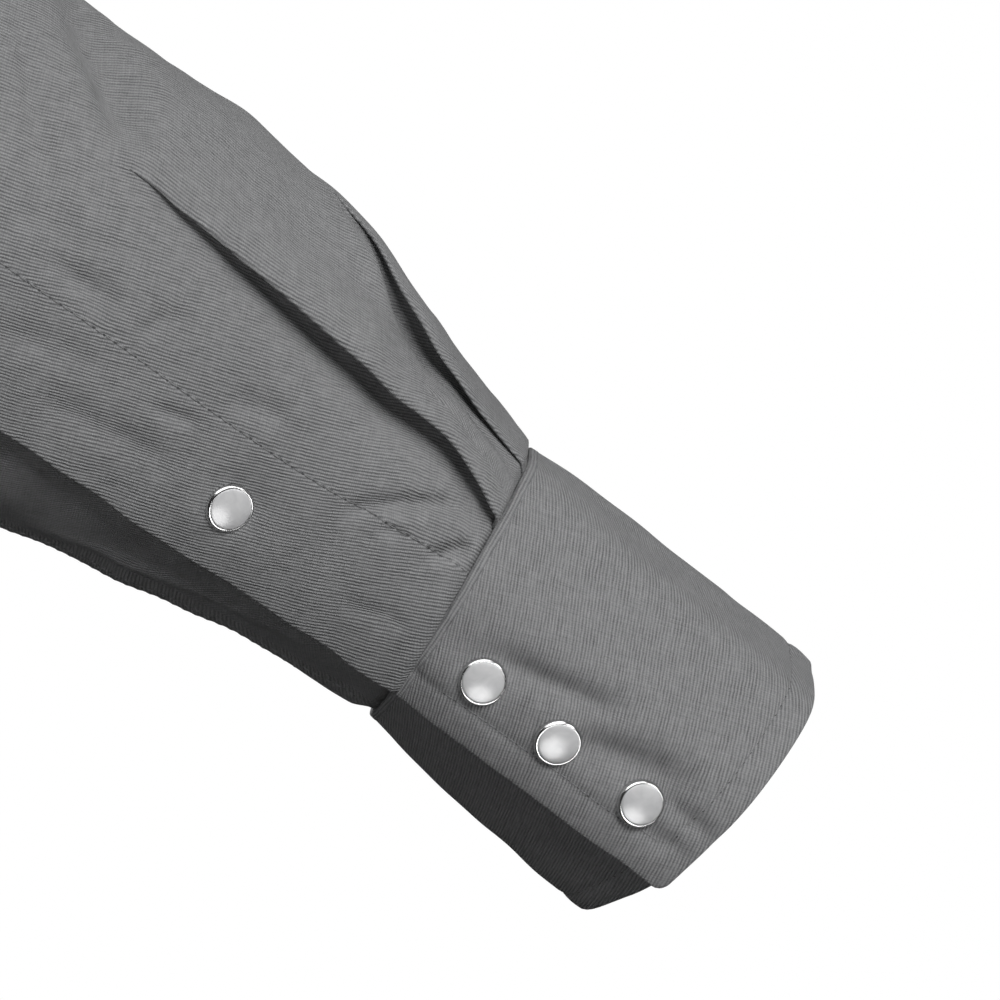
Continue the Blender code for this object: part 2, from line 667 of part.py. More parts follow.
def make_sleeve(side, mirrored, cloth):
    seam_reach = SLEEVE_LENGTH - SEAM_GAP
    lower = seam_reach - np.array(SLEEVE_ROWS_ABOVE)
    rows = []
    joined_rows = 0
    for reach in np.concatenate([SLEEVE_ROWS_DOWN, lower]):
        above = seam_reach - reach
        columns = sleeve_columns(above)
        turn = np.array([column[0] for column in columns])
        rise = np.array([column[1] for column in columns]) + lap_rise(turn, above)
        rise = rise - underarm_tuck(turn, reach)
        rows.append(sleeve(turn, np.full_like(turn, reach), rise))
        joined_rows += int(above >= SLIT_TOP - 1e-6)
    wall("sleeve_" + side, rows, CLOTH, cloth, mirrored, joined_rows)


def placket_edge(wanted, above):
    return read_table(PLACKET_EDGES, PLACKET_COLUMNS, wanted, above)


def placket_surface(turn, reach):
    """The sleeve under the placket, standing out towards the free edge, which hangs straight."""
    above = SLEEVE_LENGTH - reach
    share = (PLACKET_LIP_START - turn) / (PLACKET_LIP_START - placket_edge("free_angle", above))
    lip = placket_edge("lip", above) * np.clip(share, 0.0, 1.0) ** 2
    return sleeve(turn, reach, lap_rise(turn, above) + lip)


def make_placket(side, mirrored, cloth):
    above = np.linspace(PLACKET_TOP, PLACKET_FOOT, PLACKET_ROWS)[:, None]
    free = placket_edge("free_angle", above)
    sewn = placket_edge("sewn_angle", above)
    turn = free + (sewn - free) * np.linspace(0.0, 1.0, PLACKET_POINTS)[None, :]
    reach = SLEEVE_LENGTH - above + 0.0 * turn
    strip = moved_out(placket_surface, turn, reach, BAND_STEP)
    wall("sleeve_placket_" + side, strip, CLOTH, cloth, mirrored)


def make_cuff(side, mirrored, cloth):
    down = np.linspace(0.0, CUFF_DEEP, CUFF_ROWS)[:, None]
    lap = read_table(CUFF_RINGS, CUFF_COLUMNS, "lap_angle", down)
    share = np.linspace(0.0, 1.0, CUFF_POINTS)[None, :]
    turn = lap + (CUFF_UNDERLAP_END - lap) * share
    wall("cuff_" + side, cuff(turn, down + 0.0 * turn), CUFF_CLOTH, cloth, mirrored)


def seat_and_normal(surface, first, second, out):
    """A seat for a snap on a surface, and the way out of it."""
    first = np.array([first])
    second = np.array([second])
    low = moved_out(surface, first, second, out)[0]
    high = moved_out(surface, first, second, out + CLOTH)[0]
    return low, high - low


def make_snaps(material):
    band_top = BAND_STEP + CLOTH / 2
    heights = np.linspace(FIRST_SNAP_HEIGHT, LAST_SNAP_HEIGHT, FRONT_SNAP_COUNT)
    for number, height in enumerate(heights, start=1):
        seat, normal = seat_and_normal(torso, 0.0, height, band_top)
        snap("snap_front_%d" % number, seat, normal, material)
    seat = collar_stand(np.array([0.0]), np.array([0.5]))[0] - np.array([0.0, CLOTH / 2, 0.0])
    snap("snap_collar", seat, (0.0, -1.0, STAND_SNAP_TILT), material)
    for side, way in (("left", 1.0), ("right", -1.0)):
        places = []
        for down in CUFF_SNAPS_DOWN:
            lap = float(read_table(CUFF_RINGS, CUFF_COLUMNS, "lap_angle", np.array(down)))
            places.append(seat_and_normal(cuff, lap + CUFF_SNAP_TURN, down, CUFF_CLOTH / 2))
        reach = SLEEVE_LENGTH - PLACKET_SNAP_ABOVE
        places.append(seat_and_normal(placket_surface, PLACKET_SNAP_ANGLE, reach, band_top))
        names = ["snap_cuff_%s_%d" % (side, number) for number in (1, 2, 3)]
        names.append("snap_placket_%s" % side)
        for name, (seat, normal) in zip(names, places):
            flip = np.array([way, 1.0, 1.0])
            snap(name, seat * flip, normal * flip, material)


def main():
    clear_scene()
    twill = make_material("grey_twill", TWILL_GREY, 0.85, 0.0)
    silver = make_material("snap_silver", SNAP_SILVER, 0.25, 0.6)
    make_back(twill)
    make_fronts(twill)
    make_collar(twill)
    for side, mirrored in (("left", False), ("right", True)):
        make_sleeve(side, mirrored, twill)
        make_placket(side, mirrored, twill)
        make_cuff(side, mirrored, twill)
    make_snaps(silver)


main()
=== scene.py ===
"""Looks of a long-sleeved work shirt in grey cotton twill: cloth shells, creases, stitches, snaps.

Metres, +Z up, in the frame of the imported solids. The front faces -Y, the wearer's left is +X.
The forms are the solids' own, made finer, with creases, rounded edges, seams and sewing.
"""

import bpy
import numpy as np
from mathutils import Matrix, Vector


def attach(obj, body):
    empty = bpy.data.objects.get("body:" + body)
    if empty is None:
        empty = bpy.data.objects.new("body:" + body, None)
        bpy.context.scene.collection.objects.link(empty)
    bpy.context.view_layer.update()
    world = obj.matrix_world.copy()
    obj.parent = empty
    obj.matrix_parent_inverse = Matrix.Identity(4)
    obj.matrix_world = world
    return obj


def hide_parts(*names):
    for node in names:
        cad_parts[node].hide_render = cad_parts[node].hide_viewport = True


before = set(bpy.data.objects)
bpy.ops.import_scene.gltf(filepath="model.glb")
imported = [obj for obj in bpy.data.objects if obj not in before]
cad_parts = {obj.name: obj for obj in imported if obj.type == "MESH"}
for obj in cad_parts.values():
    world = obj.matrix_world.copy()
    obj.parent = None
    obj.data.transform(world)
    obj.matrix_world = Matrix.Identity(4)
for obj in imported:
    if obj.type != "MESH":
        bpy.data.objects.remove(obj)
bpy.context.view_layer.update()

# Camera: it looks along -Y at the wearer's right forearm from behind
FIELD = 0.24
CAMERA_TARGET = Vector((-0.5753, -0.02, -0.4431))
CAMERA_DISTANCE = 1.3
SENSOR = 36.0

# Cloth, seams and laps
CLOTH = 0.0010
SHELL = 0.0007
CUFF_CLOTH = 0.0018
PLACKET_CLOTH = 0.0013
BAND_CLOTH = 0.0014
COLLAR_CLOTH = 0.0015
EDGE_ROUND = 0.30
SEAM_SETBACK = 0.0003
LAP_STEP = 0.0015
BAND_STEP = LAP_STEP + 0.0002

# Body: how square its section is, and the hem's soft waves
BODY_BOXY = 0.05
BODY_BOXY_TOP = 0.7
BODY_BOXY_FADE = 0.3
HEM_WAVE = 0.0045
HEM_WAVE_TOP = 0.55
HEM_WAVE_COUNT = 8.0
HEM_WAVE_START = 25.0

# Front closure
BAND_WIDTH = 0.036
BAND_FOOT = 0.004
BAND_TOP = 0.994
FRONT_SNAP_COUNT = 6
FIRST_SNAP_HEIGHT = 0.20
LAST_SNAP_HEIGHT = 0.93
BAND_STITCH = 0.0055
BAND_GROOVE = 0.00018
BAND_GROOVE_WIDE = 0.0010

# Collar
COLLAR_CENTRE = (0.0, -0.008, 0.0)
COLLAR_LONG = 0.44
STAND_TALL = 0.030
STAND_TALLER_BACK = 0.12
STAND_LEAN = 0.004
STAND_FOOT_GAP = 0.0014
STAND_LAP_STEP = LAP_STEP * 1.35
STAND_LAP_START = 20.0
STAND_LAP_SPAN = 50.0
STAND_SNAP_TILT = 0.13
LEAF_ROLL_OUT = 0.0062
LEAF_ROLL_UP = 0.0014
LEAF_ROLL_TOP = 0.0030
LEAF_ROLL_SHARE = 0.22
LEAF_TOP_SHARE = 0.30
LEAF_FALL_START = 0.15
LEAF_BULGE = 0.0035
LEAF_CLEAR = 0.0022
LEAF_END_ANGLE = 7.0
LEAF_DEEP = 0.065
LEAF_STITCH = 0.006
LEAF_STITCH_START = 0.26
LEAF_STITCH_END = 5.0
LEAF_GROOVE = 0.0002
LEAF_GROOVE_WIDE = 0.001
LEAF_EDGE_COLUMNS = ("name", "turn", "edge_turn", "edge_height")
LEAF_EDGE = (
    ("point",       7.0,  13.5, 0.892),
    ("front",      30.0,  32.0, 0.925),
    ("neck_side",  60.0,  64.0, 0.947),
    ("shoulder",   90.0,  92.0, 0.955),
    ("back_side", 130.0, 131.0, 0.957),
    ("back",      180.0, 180.0, 0.958),
)

# Arm: two straight runs and a soft bend at the elbow
ARMHOLE_CENTRE = (0.212, 0.0, -0.140)
UPPER_ARM = 0.285
FOREARM = 0.200
UPPER_DROP = 46.0
UPPER_FORWARD = -2.0
FORE_DROP = 37.4
FORE_FORWARD = 15.0
ELBOW_BLEND = 0.07
SLEEVE_LENGTH = UPPER_ARM + FOREARM
SLANT_FADE = 0.24
FIT_FADE = 0.09
CALM_AT_ARMHOLE = 0.02
CALM_AT_CUFF = 0.006

# Armhole: a loop on the torso, by height and by angle from the side
ARMHOLE_MIDDLE = 0.77
ARMHOLE_HALF = 0.11
ARMHOLE_SPREAD = 29.0
UNDERARM_CLEAR = 0.0016
UNDERARM_FADE = 0.06

# Cuff and sleeve placket
CUFF_DEEP = 0.082
CUFF_ROUND = 0.0378
CUFF_LAP_STEP = 0.0021
CUFF_STEP_START = 15.0
CUFF_STEP_SPAN = 70.0
CUFF_LIP = 0.0034
CUFF_LIP_START = -8.0
CUFF_UNDERLAP_END = 366.0
CUFF_CORNER = 0.0026
CUFF_EDGE_WIDE = 0.0022
CUFF_EDGE_HIGH = 0.00012
CUFF_EDGE_SOFT = 0.0008
CUFF_GROOVE = 0.00040
CUFF_GROOVE_WIDE = 0.0009
CUFF_STRIP = 0.00022
SLIT_BEHIND = 2.5
SLIT_HALF_GAP = 0.8
SLIT_TOP = 0.145
PLACKET_LIP_START = -18.0
PLACKET_TOP = 0.165
SLEEVE_TUCK = 0.0006
SLEEVE_RISE_START = 10.0
SLEEVE_RISE_SPAN = 60.0
SLEEVE_RISE_FADE = 0.06
INTO_CUFF = 0.0026
INTO_CUFF_FADE = 0.0022
INSIDE_CUFF = 0.0010
PLACKET_WIDE = 0.034
PLACKET_STITCH = 0.0008
PLACKET_GROOVE = 0.00024
PLACKET_GROOVE_WIDE = 0.0004
PLACKET_CROSS_STITCH = 0.024
PLACKET_FLUSH = (SHELL - PLACKET_CLOTH) / 2 + 0.0001
PLACKET_FLUSH_FADE = 0.028
PLACKET_TUCK = 0.0010
PLACKET_TUCK_SPAN = 4.0
PLACKET_TUCK_TOP = 0.006
SEWN_NEAR = 1.0
STRAIGHT_TURN = 9.0
STRAIGHT_ROW = -40

# Snaps
CUFF_SNAPS = (
    # turn from the overlap edge, depth from the seam, lean down the arm, lean outwards
    (23.1, 0.0158, 0.06, 0.18),
    (21.2, 0.0384, 0.17, 0.04),
    (20.2, 0.0629, 0.12, 0.10),
)
PLACKET_SNAP_ABOVE = 0.0646
PLACKET_SNAP_ANGLE = -24.8
PLACKET_SNAP_LEAN = (0.08, 0.22)
SNAP_DENT = 0.0006
SNAP_PULL_WIDE = 0.0085

# Rings of the body from hem to neck
BODY_COLUMNS = ("name", "height", "half_width", "front", "back", "front_z", "side_z", "back_z")
BODY_RINGS = (
    ("hem",      0.00, 0.256, 0.146, 0.140, -0.755, -0.700, -0.765),
    ("hip",      0.16, 0.253, 0.140, 0.137, -0.640, -0.605, -0.645),
    ("waist",    0.38, 0.244, 0.131, 0.126, -0.462, -0.440, -0.460),
    ("chest",    0.58, 0.233, 0.130, 0.122, -0.312, -0.292, -0.305),
    ("underarm", 0.66, 0.227, 0.128, 0.119, -0.256, -0.238, -0.245),
    ("armhole",  0.77, 0.217, 0.121, 0.113, -0.190, -0.145, -0.168),
    ("tip",      0.88, 0.210, 0.106, 0.098, -0.130, -0.052, -0.092),
    ("slope",    0.94, 0.142, 0.085, 0.078, -0.090, -0.022, -0.046),
    ("neck",     1.00, 0.071, 0.068, 0.056, -0.060, -0.002, -0.018),
)

# Sizes across the arm: reach is the way from the armhole centre, lift is towards the outer side
ARM_COLUMNS = ("name", "reach", "lift", "across", "deep")
ARM_RINGS = (
    ("cap",        -0.080,  0.0000, 0.0560, 0.0640),
    ("armhole",     0.000,  0.0010, 0.0600, 0.0670),
    ("bicep",       0.090,  0.0040, 0.0660, 0.0680),
    ("upper",       0.180,  0.0010, 0.0670, 0.0640),
    ("elbow",       0.270, -0.0040, 0.0645, 0.0570),
    ("below",       0.341, -0.0020, 0.0612, 0.0520),
    ("wide",        0.365,  0.0003, 0.0600, 0.0500),
    ("calf",        0.386,  0.0018, 0.0565, 0.0485),
    ("pleated",     0.412,  0.0033, 0.0517, 0.0460),
    ("gathered",    0.440,  0.0029, 0.0450, 0.0425),
    ("cuff_seam",   0.485,  0.0000, 0.0364, 0.0364),
)

# Cuff by its depth from the seam
CUFF_COLUMNS = ("name", "down", "lift", "radius", "lap_angle")
CUFF_RINGS = (
    ("seam", 0.000,  0.0000, 0.0357, -45.7),
    ("half", 0.041, -0.0017, 0.0371, -40.8),
    ("hem",  0.082, -0.0033, 0.0382, -36.2),
)

# The cuff's ends are cut a little slanted: shift down the arm at the back and outer side
SEAM_SHIFT = (-0.0068, -0.0044)
HEM_SHIFT = (0.0004, 0.0044)
SHIFT_FADE = 0.075

# Sleeve placket by its distance above the cuff seam. Its free edge stands out by the lip.
PLACKET_COLUMNS = ("name", "above", "free_angle", "sewn_angle", "lip")
PLACKET_EDGES = (
    ("seam",   0.000, -44.5,  6.5, 0.0030),
    ("lower",  0.055, -43.0, -3.8, 0.0030),
    ("middle", 0.115, -34.0, -2.5, 0.0026),
    ("top",    0.165, -30.0,  0.5, 0.0010),
)

# Pleats: fold edge, cloth lying back under it, and how far the fold stands out
PLEAT_COLUMNS = ("name", "above", "angle", "under", "rise")
PLEATS = (
    (
        ("seam",  0.000, 24.8, 0.0110, 0.0022),
        ("hook",  0.010, 28.4, 0.0108, 0.0034),
        ("low",   0.024, 31.2, 0.0100, 0.0042),
        ("calf",  0.045, 28.8, 0.0090, 0.0046),
        ("mid",   0.070, 27.6, 0.0076, 0.0048),
        ("high",  0.098, 28.6, 0.0056, 0.0036),
        ("top",   0.121, 30.6, 0.0034, 0.0014),
        ("head",  0.141, 32.8, 0.0000, 0.0000),
    ),
    (
        ("seam",  0.000, 54.2, 0.0105, 0.0010),
        ("hook",  0.015, 53.2, 0.0100, 0.0020),
        ("low",   0.030, 52.6, 0.0090, 0.0028),
        ("mid",   0.044, 55.2, 0.0074, 0.0040),
        ("high",  0.057, 60.5, 0.0058, 0.0034),
        ("top",   0.070, 72.0, 0.0040, 0.0018),
        ("head",  0.090, 90.0, 0.0000, 0.0000),
    ),
)
PLEAT_BEFORE = 0.0075
PLEAT_AFTER = 0.0085
PLEAT_CREST = 0.70
PLEAT_PRESSED = 0.0006
PLEAT_ROOM = 0.47
PLEAT_BULK = 0.0008
PLEAT_BULK_AWAY = 8.0
PLEAT_BULK_TURN = 11.0
PLEAT_BULK_DOWN = 0.012

# One pleat across: share of its cloth, place over the fold depth, height over the rise
PLEAT_SECTION_COLUMNS = ("before", "share", "under", "after", "height")
PLEAT_SECTION = (
    (-1.0, 0.00, 0.00, 0.0, 0.00),
    (0.0,  0.17, 0.25, 0.0, 0.00),
    (0.0,  0.34, 0.95, 0.0, 0.04),
    (0.0,  0.42, 1.05, 0.0, 0.36),
    (0.0,  0.50, 0.80, 0.0, 0.68),
    (0.0,  0.64, 0.12, 0.0, 0.74),
    (0.0,  0.70, 0.00, 0.0, 0.87),
    (0.0,  0.78, 0.14, 0.0, 1.00),
    (0.0,  1.00, 1.00, 1.0, 0.00),
)
PLEAT_HOLLOW_COLUMNS = ("name", "above", "depth")
PLEAT_HOLLOWS = (
    (
        ("seam",  0.000, 0.0008),
        ("hook",  0.012, 0.0022),
        ("low",   0.030, 0.0040),
        ("mid",   0.060, 0.0048),
        ("high",  0.085, 0.0036),
        ("top",   0.108, 0.0016),
        ("head",  0.132, 0.0000),
    ),
    (
        ("seam",  0.000, 0.0000),
        ("hook",  0.012, 0.0002),
        ("low",   0.030, 0.0014),
        ("mid",   0.046, 0.0036),
        ("high",  0.060, 0.0030),
        ("top",   0.075, 0.0012),
        ("head",  0.088, 0.0000),
    ),
)
PLEAT_HOLLOW_AWAY = -0.0012
PLEAT_HOLLOW_WIDE = 0.0064

# Broad folds, as in the solids: where each starts and ends, its half width and its depth
FOLD_COLUMNS = ("name", "start_turn", "start_way", "end_turn", "end_way", "half_width", "depth")
BODY_FOLDS = (
    ("left_side_front",   62.0, 0.02,  78.0, 0.50, 0.030, 0.0080),
    ("left_side_back",   112.0, 0.00,  98.0, 0.46, 0.030, 0.0080),
    ("right_side_front", -60.0, 0.00, -77.0, 0.47, 0.030, 0.0080),
    ("right_side_back", -114.0, 0.03, -99.0, 0.50, 0.030, 0.0080),
    ("left_chest",        52.0, 0.60,  26.0, 0.46, 0.026, 0.0060),
    ("right_chest",      -52.0, 0.60, -24.0, 0.48, 0.026, 0.0060),
    ("left_blade",       128.0, 0.60, 156.0, 0.46, 0.028, 0.0060),
    ("right_blade",     -128.0, 0.60, -154.0, 0.44, 0.028, 0.0060),
    ("back_middle",      172.0, 0.00, 178.0, 0.40, 0.032, 0.0060),
)
ARM_FOLDS = (
    ("front_elbow", 200.0, 0.245, 120.0, 0.285, 0.014, 0.0050),
    ("inner_elbow", 228.0, 0.290, 150.0, 0.325, 0.013, 0.0040),
    ("under_cap",   235.0, 0.090, 190.0, 0.170, 0.018, 0.0060),
    ("back_upper",   20.0, 0.110,  70.0, 0.200, 0.018, 0.0050),
)
METRES_PER_DEGREE_BODY = 0.0034
METRES_PER_HEIGHT = 0.76
METRES_PER_DEGREE_ARM = 0.0010
METRES_PER_DEGREE_CUFF = 0.00066

# Folds fade over a third of their length, and creases have low shoulders
FOLD_FADE = 3.0
FOLD_FADE_START = 0.3
CREASE_SHOULDER = 0.6

# Creases: soft troughs, or ridges where the depth is negative, with a bow to one side
CREASE_COLUMNS = FOLD_COLUMNS + ("bow",)
SLEEVE_CREASES = (
    ("top_flat",        90.0, 0.2700,  90.0, 0.3860, 0.0200,  0.0034,  0.0000),
    ("valley",          78.0, 0.3140,  36.0, 0.3540, 0.0080,  0.0058,  0.0008),
    ("narrow",          50.0, 0.3120,  16.0, 0.3440, 0.0036,  0.0014, -0.0006),
    ("soft_a",          12.0, 0.3400,  10.0, 0.3590, 0.0046,  0.0012,  0.0000),
    ("short_crease",     3.0, 0.3450,   4.0, 0.3720, 0.0028,  0.0023,  0.0006),
    ("hook",             0.0, 0.3780,  11.5, 0.3840, 0.0028,  0.0016,  0.0014),
    ("soft_b",          -1.5, 0.4020,   5.5, 0.4210, 0.0040,  0.0015,  0.0006),
    ("band_high",      -15.7, 0.3460,  -9.5, 0.3760, 0.0048,  0.0009,  0.0006),
    ("band_low",       -22.0, 0.3650, -21.5, 0.4060, 0.0045,  0.0009, -0.0004),
    ("band_short",     -12.0, 0.3890,  -9.1, 0.4030, 0.0026,  0.0009,  0.0000),
    ("below_pleat",     -9.0, 0.4430,  27.0, 0.4820, 0.0034,  0.0024,  0.0014),
    ("near_seam",       -4.5, 0.4550,   1.5, 0.4650, 0.0024,  0.0009,  0.0000),
    ("at_seam",         -1.5, 0.4720,  15.0, 0.4830, 0.0028,  0.0021,  0.0000),
    ("free_edge",      -30.5, 0.4580, -21.0, 0.4790, 0.0034,  0.0005,  0.0006),
    ("flap_ridge",      78.0, 0.3860,  48.0, 0.4360, 0.0060, -0.0018,  0.0014),
    ("under_ridge",    -67.0, 0.3860, -57.0, 0.4680, 0.0046, -0.0013,  0.0010),
    ("under_trough",   -73.0, 0.3900, -66.0, 0.4600, 0.0040,  0.0010,  0.0000),
    ("under_low",      -85.0, 0.2900, -85.0, 0.3860, 0.0120,  0.0012,  0.0000),
    ("under_mid",      -83.0, 0.3950, -83.0, 0.4640, 0.0120, -0.0012,  0.0000),
    ("under_bulge",    -88.0, 0.4550, -88.0, 0.5150, 0.0140, -0.0022,  0.0000),
    ("front_low",      125.0, 0.4760, 118.0, 0.4050, 0.0060,  0.0016,  0.0020),
    ("front_low_b",    150.0, 0.4800, 158.0, 0.4200, 0.0050,  0.0014, -0.0016),
    ("front_low_c",    184.0, 0.4780, 174.0, 0.4000, 0.0065,  0.0018,  0.0020),
    ("inner_low",      214.0, 0.4800, 222.0, 0.4300, 0.0055,  0.0014,  0.0010),
    ("inner_mid",      150.0, 0.3600, 230.0, 0.3300, 0.0080,  0.0028,  0.0040),
    ("elbow_a",        118.0, 0.3060, 214.0, 0.2860, 0.0085,  0.0036, -0.0050),
    ("elbow_b",        128.0, 0.2560, 224.0, 0.2700, 0.0080,  0.0032,  0.0040),
    ("elbow_c",        140.0, 0.2200, 206.0, 0.2460, 0.0080,  0.0026, -0.0030),
    ("elbow_back",      -8.0, 0.2500,  60.0, 0.2640, 0.0100,  0.0020,  0.0040),
    ("elbow_back_b",   -20.0, 0.2860,  46.0, 0.2960, 0.0100,  0.0016, -0.0030),
    ("upper_back_a",   -60.0, 0.1700,  20.0, 0.2200, 0.0110,  0.0026,  0.0060),
    ("upper_back_b",   -70.0, 0.1100,   4.0, 0.1560, 0.0110,  0.0028, -0.0050),
    ("upper_outer",     60.0, 0.0700, 104.0, 0.1500, 0.0120,  0.0024,  0.0060),
    ("upper_front_a",  150.0, 0.0800, 226.0, 0.1340, 0.0110,  0.0030,  0.0050),
    ("upper_front_b",  146.0, 0.1340, 232.0, 0.1900, 0.0100,  0.0026, -0.0050),
    ("cap_front",      122.0, 0.0260, 112.0, 0.0900, 0.0090,  0.0018,  0.0030),
    ("cap_back",        52.0, 0.0260,  66.0, 0.0860, 0.0090,  0.0018, -0.0030),
)
BODY_CREASES = (
    ("left_armpit_front",   64.0, 0.680,  40.0, 0.560, 0.012, 0.0042,  0.010),
    ("left_armpit_low",     72.0, 0.640,  48.0, 0.500, 0.013, 0.0036, -0.010),
    ("right_armpit_front", -62.0, 0.690, -42.0, 0.550, 0.012, 0.0040, -0.012),
    ("right_armpit_low",   -74.0, 0.630, -50.0, 0.510, 0.013, 0.0038,  0.010),
    ("left_armpit_back",   116.0, 0.690, 142.0, 0.560, 0.013, 0.0042,  0.010),
    ("left_back_low",      110.0, 0.620, 134.0, 0.480, 0.014, 0.0036, -0.010),
    ("right_armpit_back", -114.0, 0.700, -144.0, 0.570, 0.013, 0.0040, -0.010),
    ("right_back_low",    -108.0, 0.630, -132.0, 0.470, 0.014, 0.0034,  0.012),
    ("waist_front_left",    20.0, 0.360,  58.0, 0.300, 0.014, 0.0028,  0.008),
    ("waist_front_right",  -18.0, 0.330, -60.0, 0.290, 0.014, 0.0030, -0.008),
    ("waist_back_left",    160.0, 0.360, 118.0, 0.300, 0.015, 0.0030,  0.008),
    ("waist_back_right",  -158.0, 0.330, -120.0, 0.280, 0.015, 0.0028, -0.010),
    ("hem_front_left",      34.0, 0.000,  30.0, 0.240, 0.014, 0.0034,  0.006),
    ("hem_front_right",    -36.0, 0.000, -28.0, 0.220, 0.014, 0.0032, -0.006),
    ("hem_back_left",      146.0, 0.000, 152.0, 0.260, 0.015, 0.0036,  0.006),
    ("hem_back_right",    -144.0, 0.000, -154.0, 0.230, 0.015, 0.0032,  0.006),
    ("collar_front_left",   34.0, 0.880,  52.0, 0.760, 0.011, 0.0022,  0.006),
    ("collar_front_right", -32.0, 0.880, -50.0, 0.770, 0.011, 0.0024, -0.006),
)
CUFF_CREASES = (
    ("flat_back",     22.0, -0.02,   22.0, 0.100, 0.0160, 0.00200,  0.0000),
    ("shoulder",      55.0, -0.02,   50.0, 0.100, 0.0100, -0.0016,  0.0000),
    ("top_fold",      90.0, 0.058,   90.0, 0.106, 0.0050, -0.0012,  0.0000),
    ("top_bulge",     88.0, -0.01,   88.0, 0.088, 0.0150, -0.0021,  0.0000),
    ("under_bulge",  272.0, -0.02,  272.0, 0.125, 0.0160, -0.0036,  0.0000),
    ("snap_high",    -11.5, 0.012,    6.0, 0.052, 0.0046, 0.00270, -0.0012),
    ("snap_mid",     -16.0, 0.038,   -1.0, 0.073, 0.0062, 0.00280,  0.0000),
    ("snap_low",     -12.0, 0.063,  -11.5, 0.083, 0.0032, 0.00120,  0.0000),
    ("snap_under",   -23.0, 0.063,  -22.0, 0.082, 0.0032, 0.00100,  0.0000),
    ("lap_bulge",    -30.0, 0.000,  -23.0, 0.011, 0.0060, -0.0010,  0.0000),
    ("top_bump",      72.0, 0.002,   62.0, 0.022, 0.0050, -0.0006,  0.0000),
    ("outer_mid",     66.0, 0.028,   90.0, 0.056, 0.0060, 0.00050,  0.0010),
    ("front_mid",    118.0, 0.018,  150.0, 0.050, 0.0060, 0.00080,  0.0014),
    ("front_low",    176.0, 0.046,  206.0, 0.066, 0.0060, 0.00070, -0.0010),
    ("inner_high",   226.0, 0.014,  250.0, 0.040, 0.0050, 0.00070,  0.0010),
)
LONG_WAVES = (
    # count round, count along, start, size
    (3.0, 11.0, 0.4, 0.00022),
    (5.0, -17.0, 1.9, 0.00018),
    (8.0, 23.0, 3.1, 0.00012),
)
WAVE_SCALE = 16.0
CUFF_WAVE_SHARE = 0.5

# Weave: wales run down the cloth, floats across them, both in metres
WALE_ANGLE = 20.0
WALE_PITCH = 0.00079
FLOAT_PITCH = 0.00056
WALE_DRIFT = 0.4
WALE_SHAKE = 0.45
FLOAT_SHAKE = 0.8
WALE_SHARP = 0.75
WALE_MIDDLE = 0.58
# The tones of wales and floats darken the weave where it lies low: partly its own pattern, partly
# painted shade in the grooves
WALE_TONE_AND_GROOVE_SHADE = 0.48
FLOAT_TONE_AND_GROOVE_SHADE = 0.12
FLOAT_HEIGHT = 0.30
TONE_LOWERED = 0.36
CLEAR_SPREAD = 1.6
CLEAR_LEAST = 0.2
DRIFT_SCALE = 60.0
MOTTLE_SCALE = 14.0
TWILL_BUMP = 0.00018
TWILL_LIGHT = (0.262, 0.263, 0.266)
TWILL_DARK = (0.070, 0.071, 0.073)
TWILL_NOISES = (
    # name, scale across the wales, scale along them
    ("wobble", 0.45, 0.30),
    ("warp_slub", 1.0, 0.12),
    ("weft_slub", 0.10, 0.9),
    ("fibre", 2.1, 1.7),
    ("patch", 0.22, 0.10),
)
HEIGHT_SHARES = (("fibre", 0.60), ("warp_slub", 0.60), ("weft_slub", 0.35))
TONE_SHARES = (("warp_slub", 0.50), ("weft_slub", 0.35), ("fibre", 0.55), ("mottle", 0.20))

# Thread, painted shade where the needle went through, and snaps
THREAD_LIGHT = (0.165, 0.166, 0.169)
THREAD_DARK = (0.100, 0.101, 0.103)
THREAD_BUMP = 0.00005
# Painted shade: dark colours standing in for the shadow where the needle went through the cloth
HOLE_SHADE_LIGHT = (0.060, 0.060, 0.062)
HOLE_SHADE_DARK = (0.030, 0.030, 0.031)
RIM_ROUGHNESS = (0.19, 0.25)
PEARL_LIGHT = (0.50, 0.50, 0.50)
PEARL_DARK = (0.34, 0.34, 0.35)

# Sewing
STITCH_PITCH = 0.0031
STITCH_SHARE = 0.80
STITCH_THICK = 0.00034
STITCH_SIDES = 5
HOLE_LONG = 0.00042
HOLE_WIDE = 0.00025
HOLE_SIDES = 8
HOLE_LIFT = 0.00004
CUFF_STITCH_LAP = 0.0080
CUFF_STITCH_HEM = 0.0070
EDGE_STITCH = 0.0014
FELL_WIDE = 0.0090
FELL_HIGH = 0.0005
FELL_TURN_LOW = -79.0
FELL_TURN_FADE = 0.30
FELL_TURNS = 7.5
FELL_ARM = 0.057
FELL_SOFT = 0.0016
FELL_GROOVE = 0.00025
FELL_GROOVE_WIDE = 0.0009
HOLE_SUNK = 0.1
SHEET_RAISED = 0.08
CUFF_RAISED = 0.10
BAND_RAISED = 0.06
PLACKET_RAISED = -0.20
CUFF_LINE_START = 0.0100
HEM_LINE_SHORT = (0.001, 0.006)
PLACKET_LINE_SHORT = (0.002, 0.006)
PLACKET_CROSS_SHARES = (0.05, 0.95)
SLEEVE_LINE_START = 0.012
BAND_LINE_SHORT = 0.004
ARMHOLE_LINE_TURNS = (-88.0, 268.0)
ARMHOLE_STITCHES = (0.0016, 0.0076)
METRES_PER_DEGREE_ARMHOLE = 0.0024
SIDE_STITCHES = (0.4, 2.2)
SHOULDER_SPREAD = 1.4
SIDE_LINE_SHORT = 0.004
SHOULDER_LINE_SHORT = (0.006, 0.004)
HEM_STITCHES = (0.0026, 0.0150)
HEM_LINE_TURNS = (8.0, 352.0)

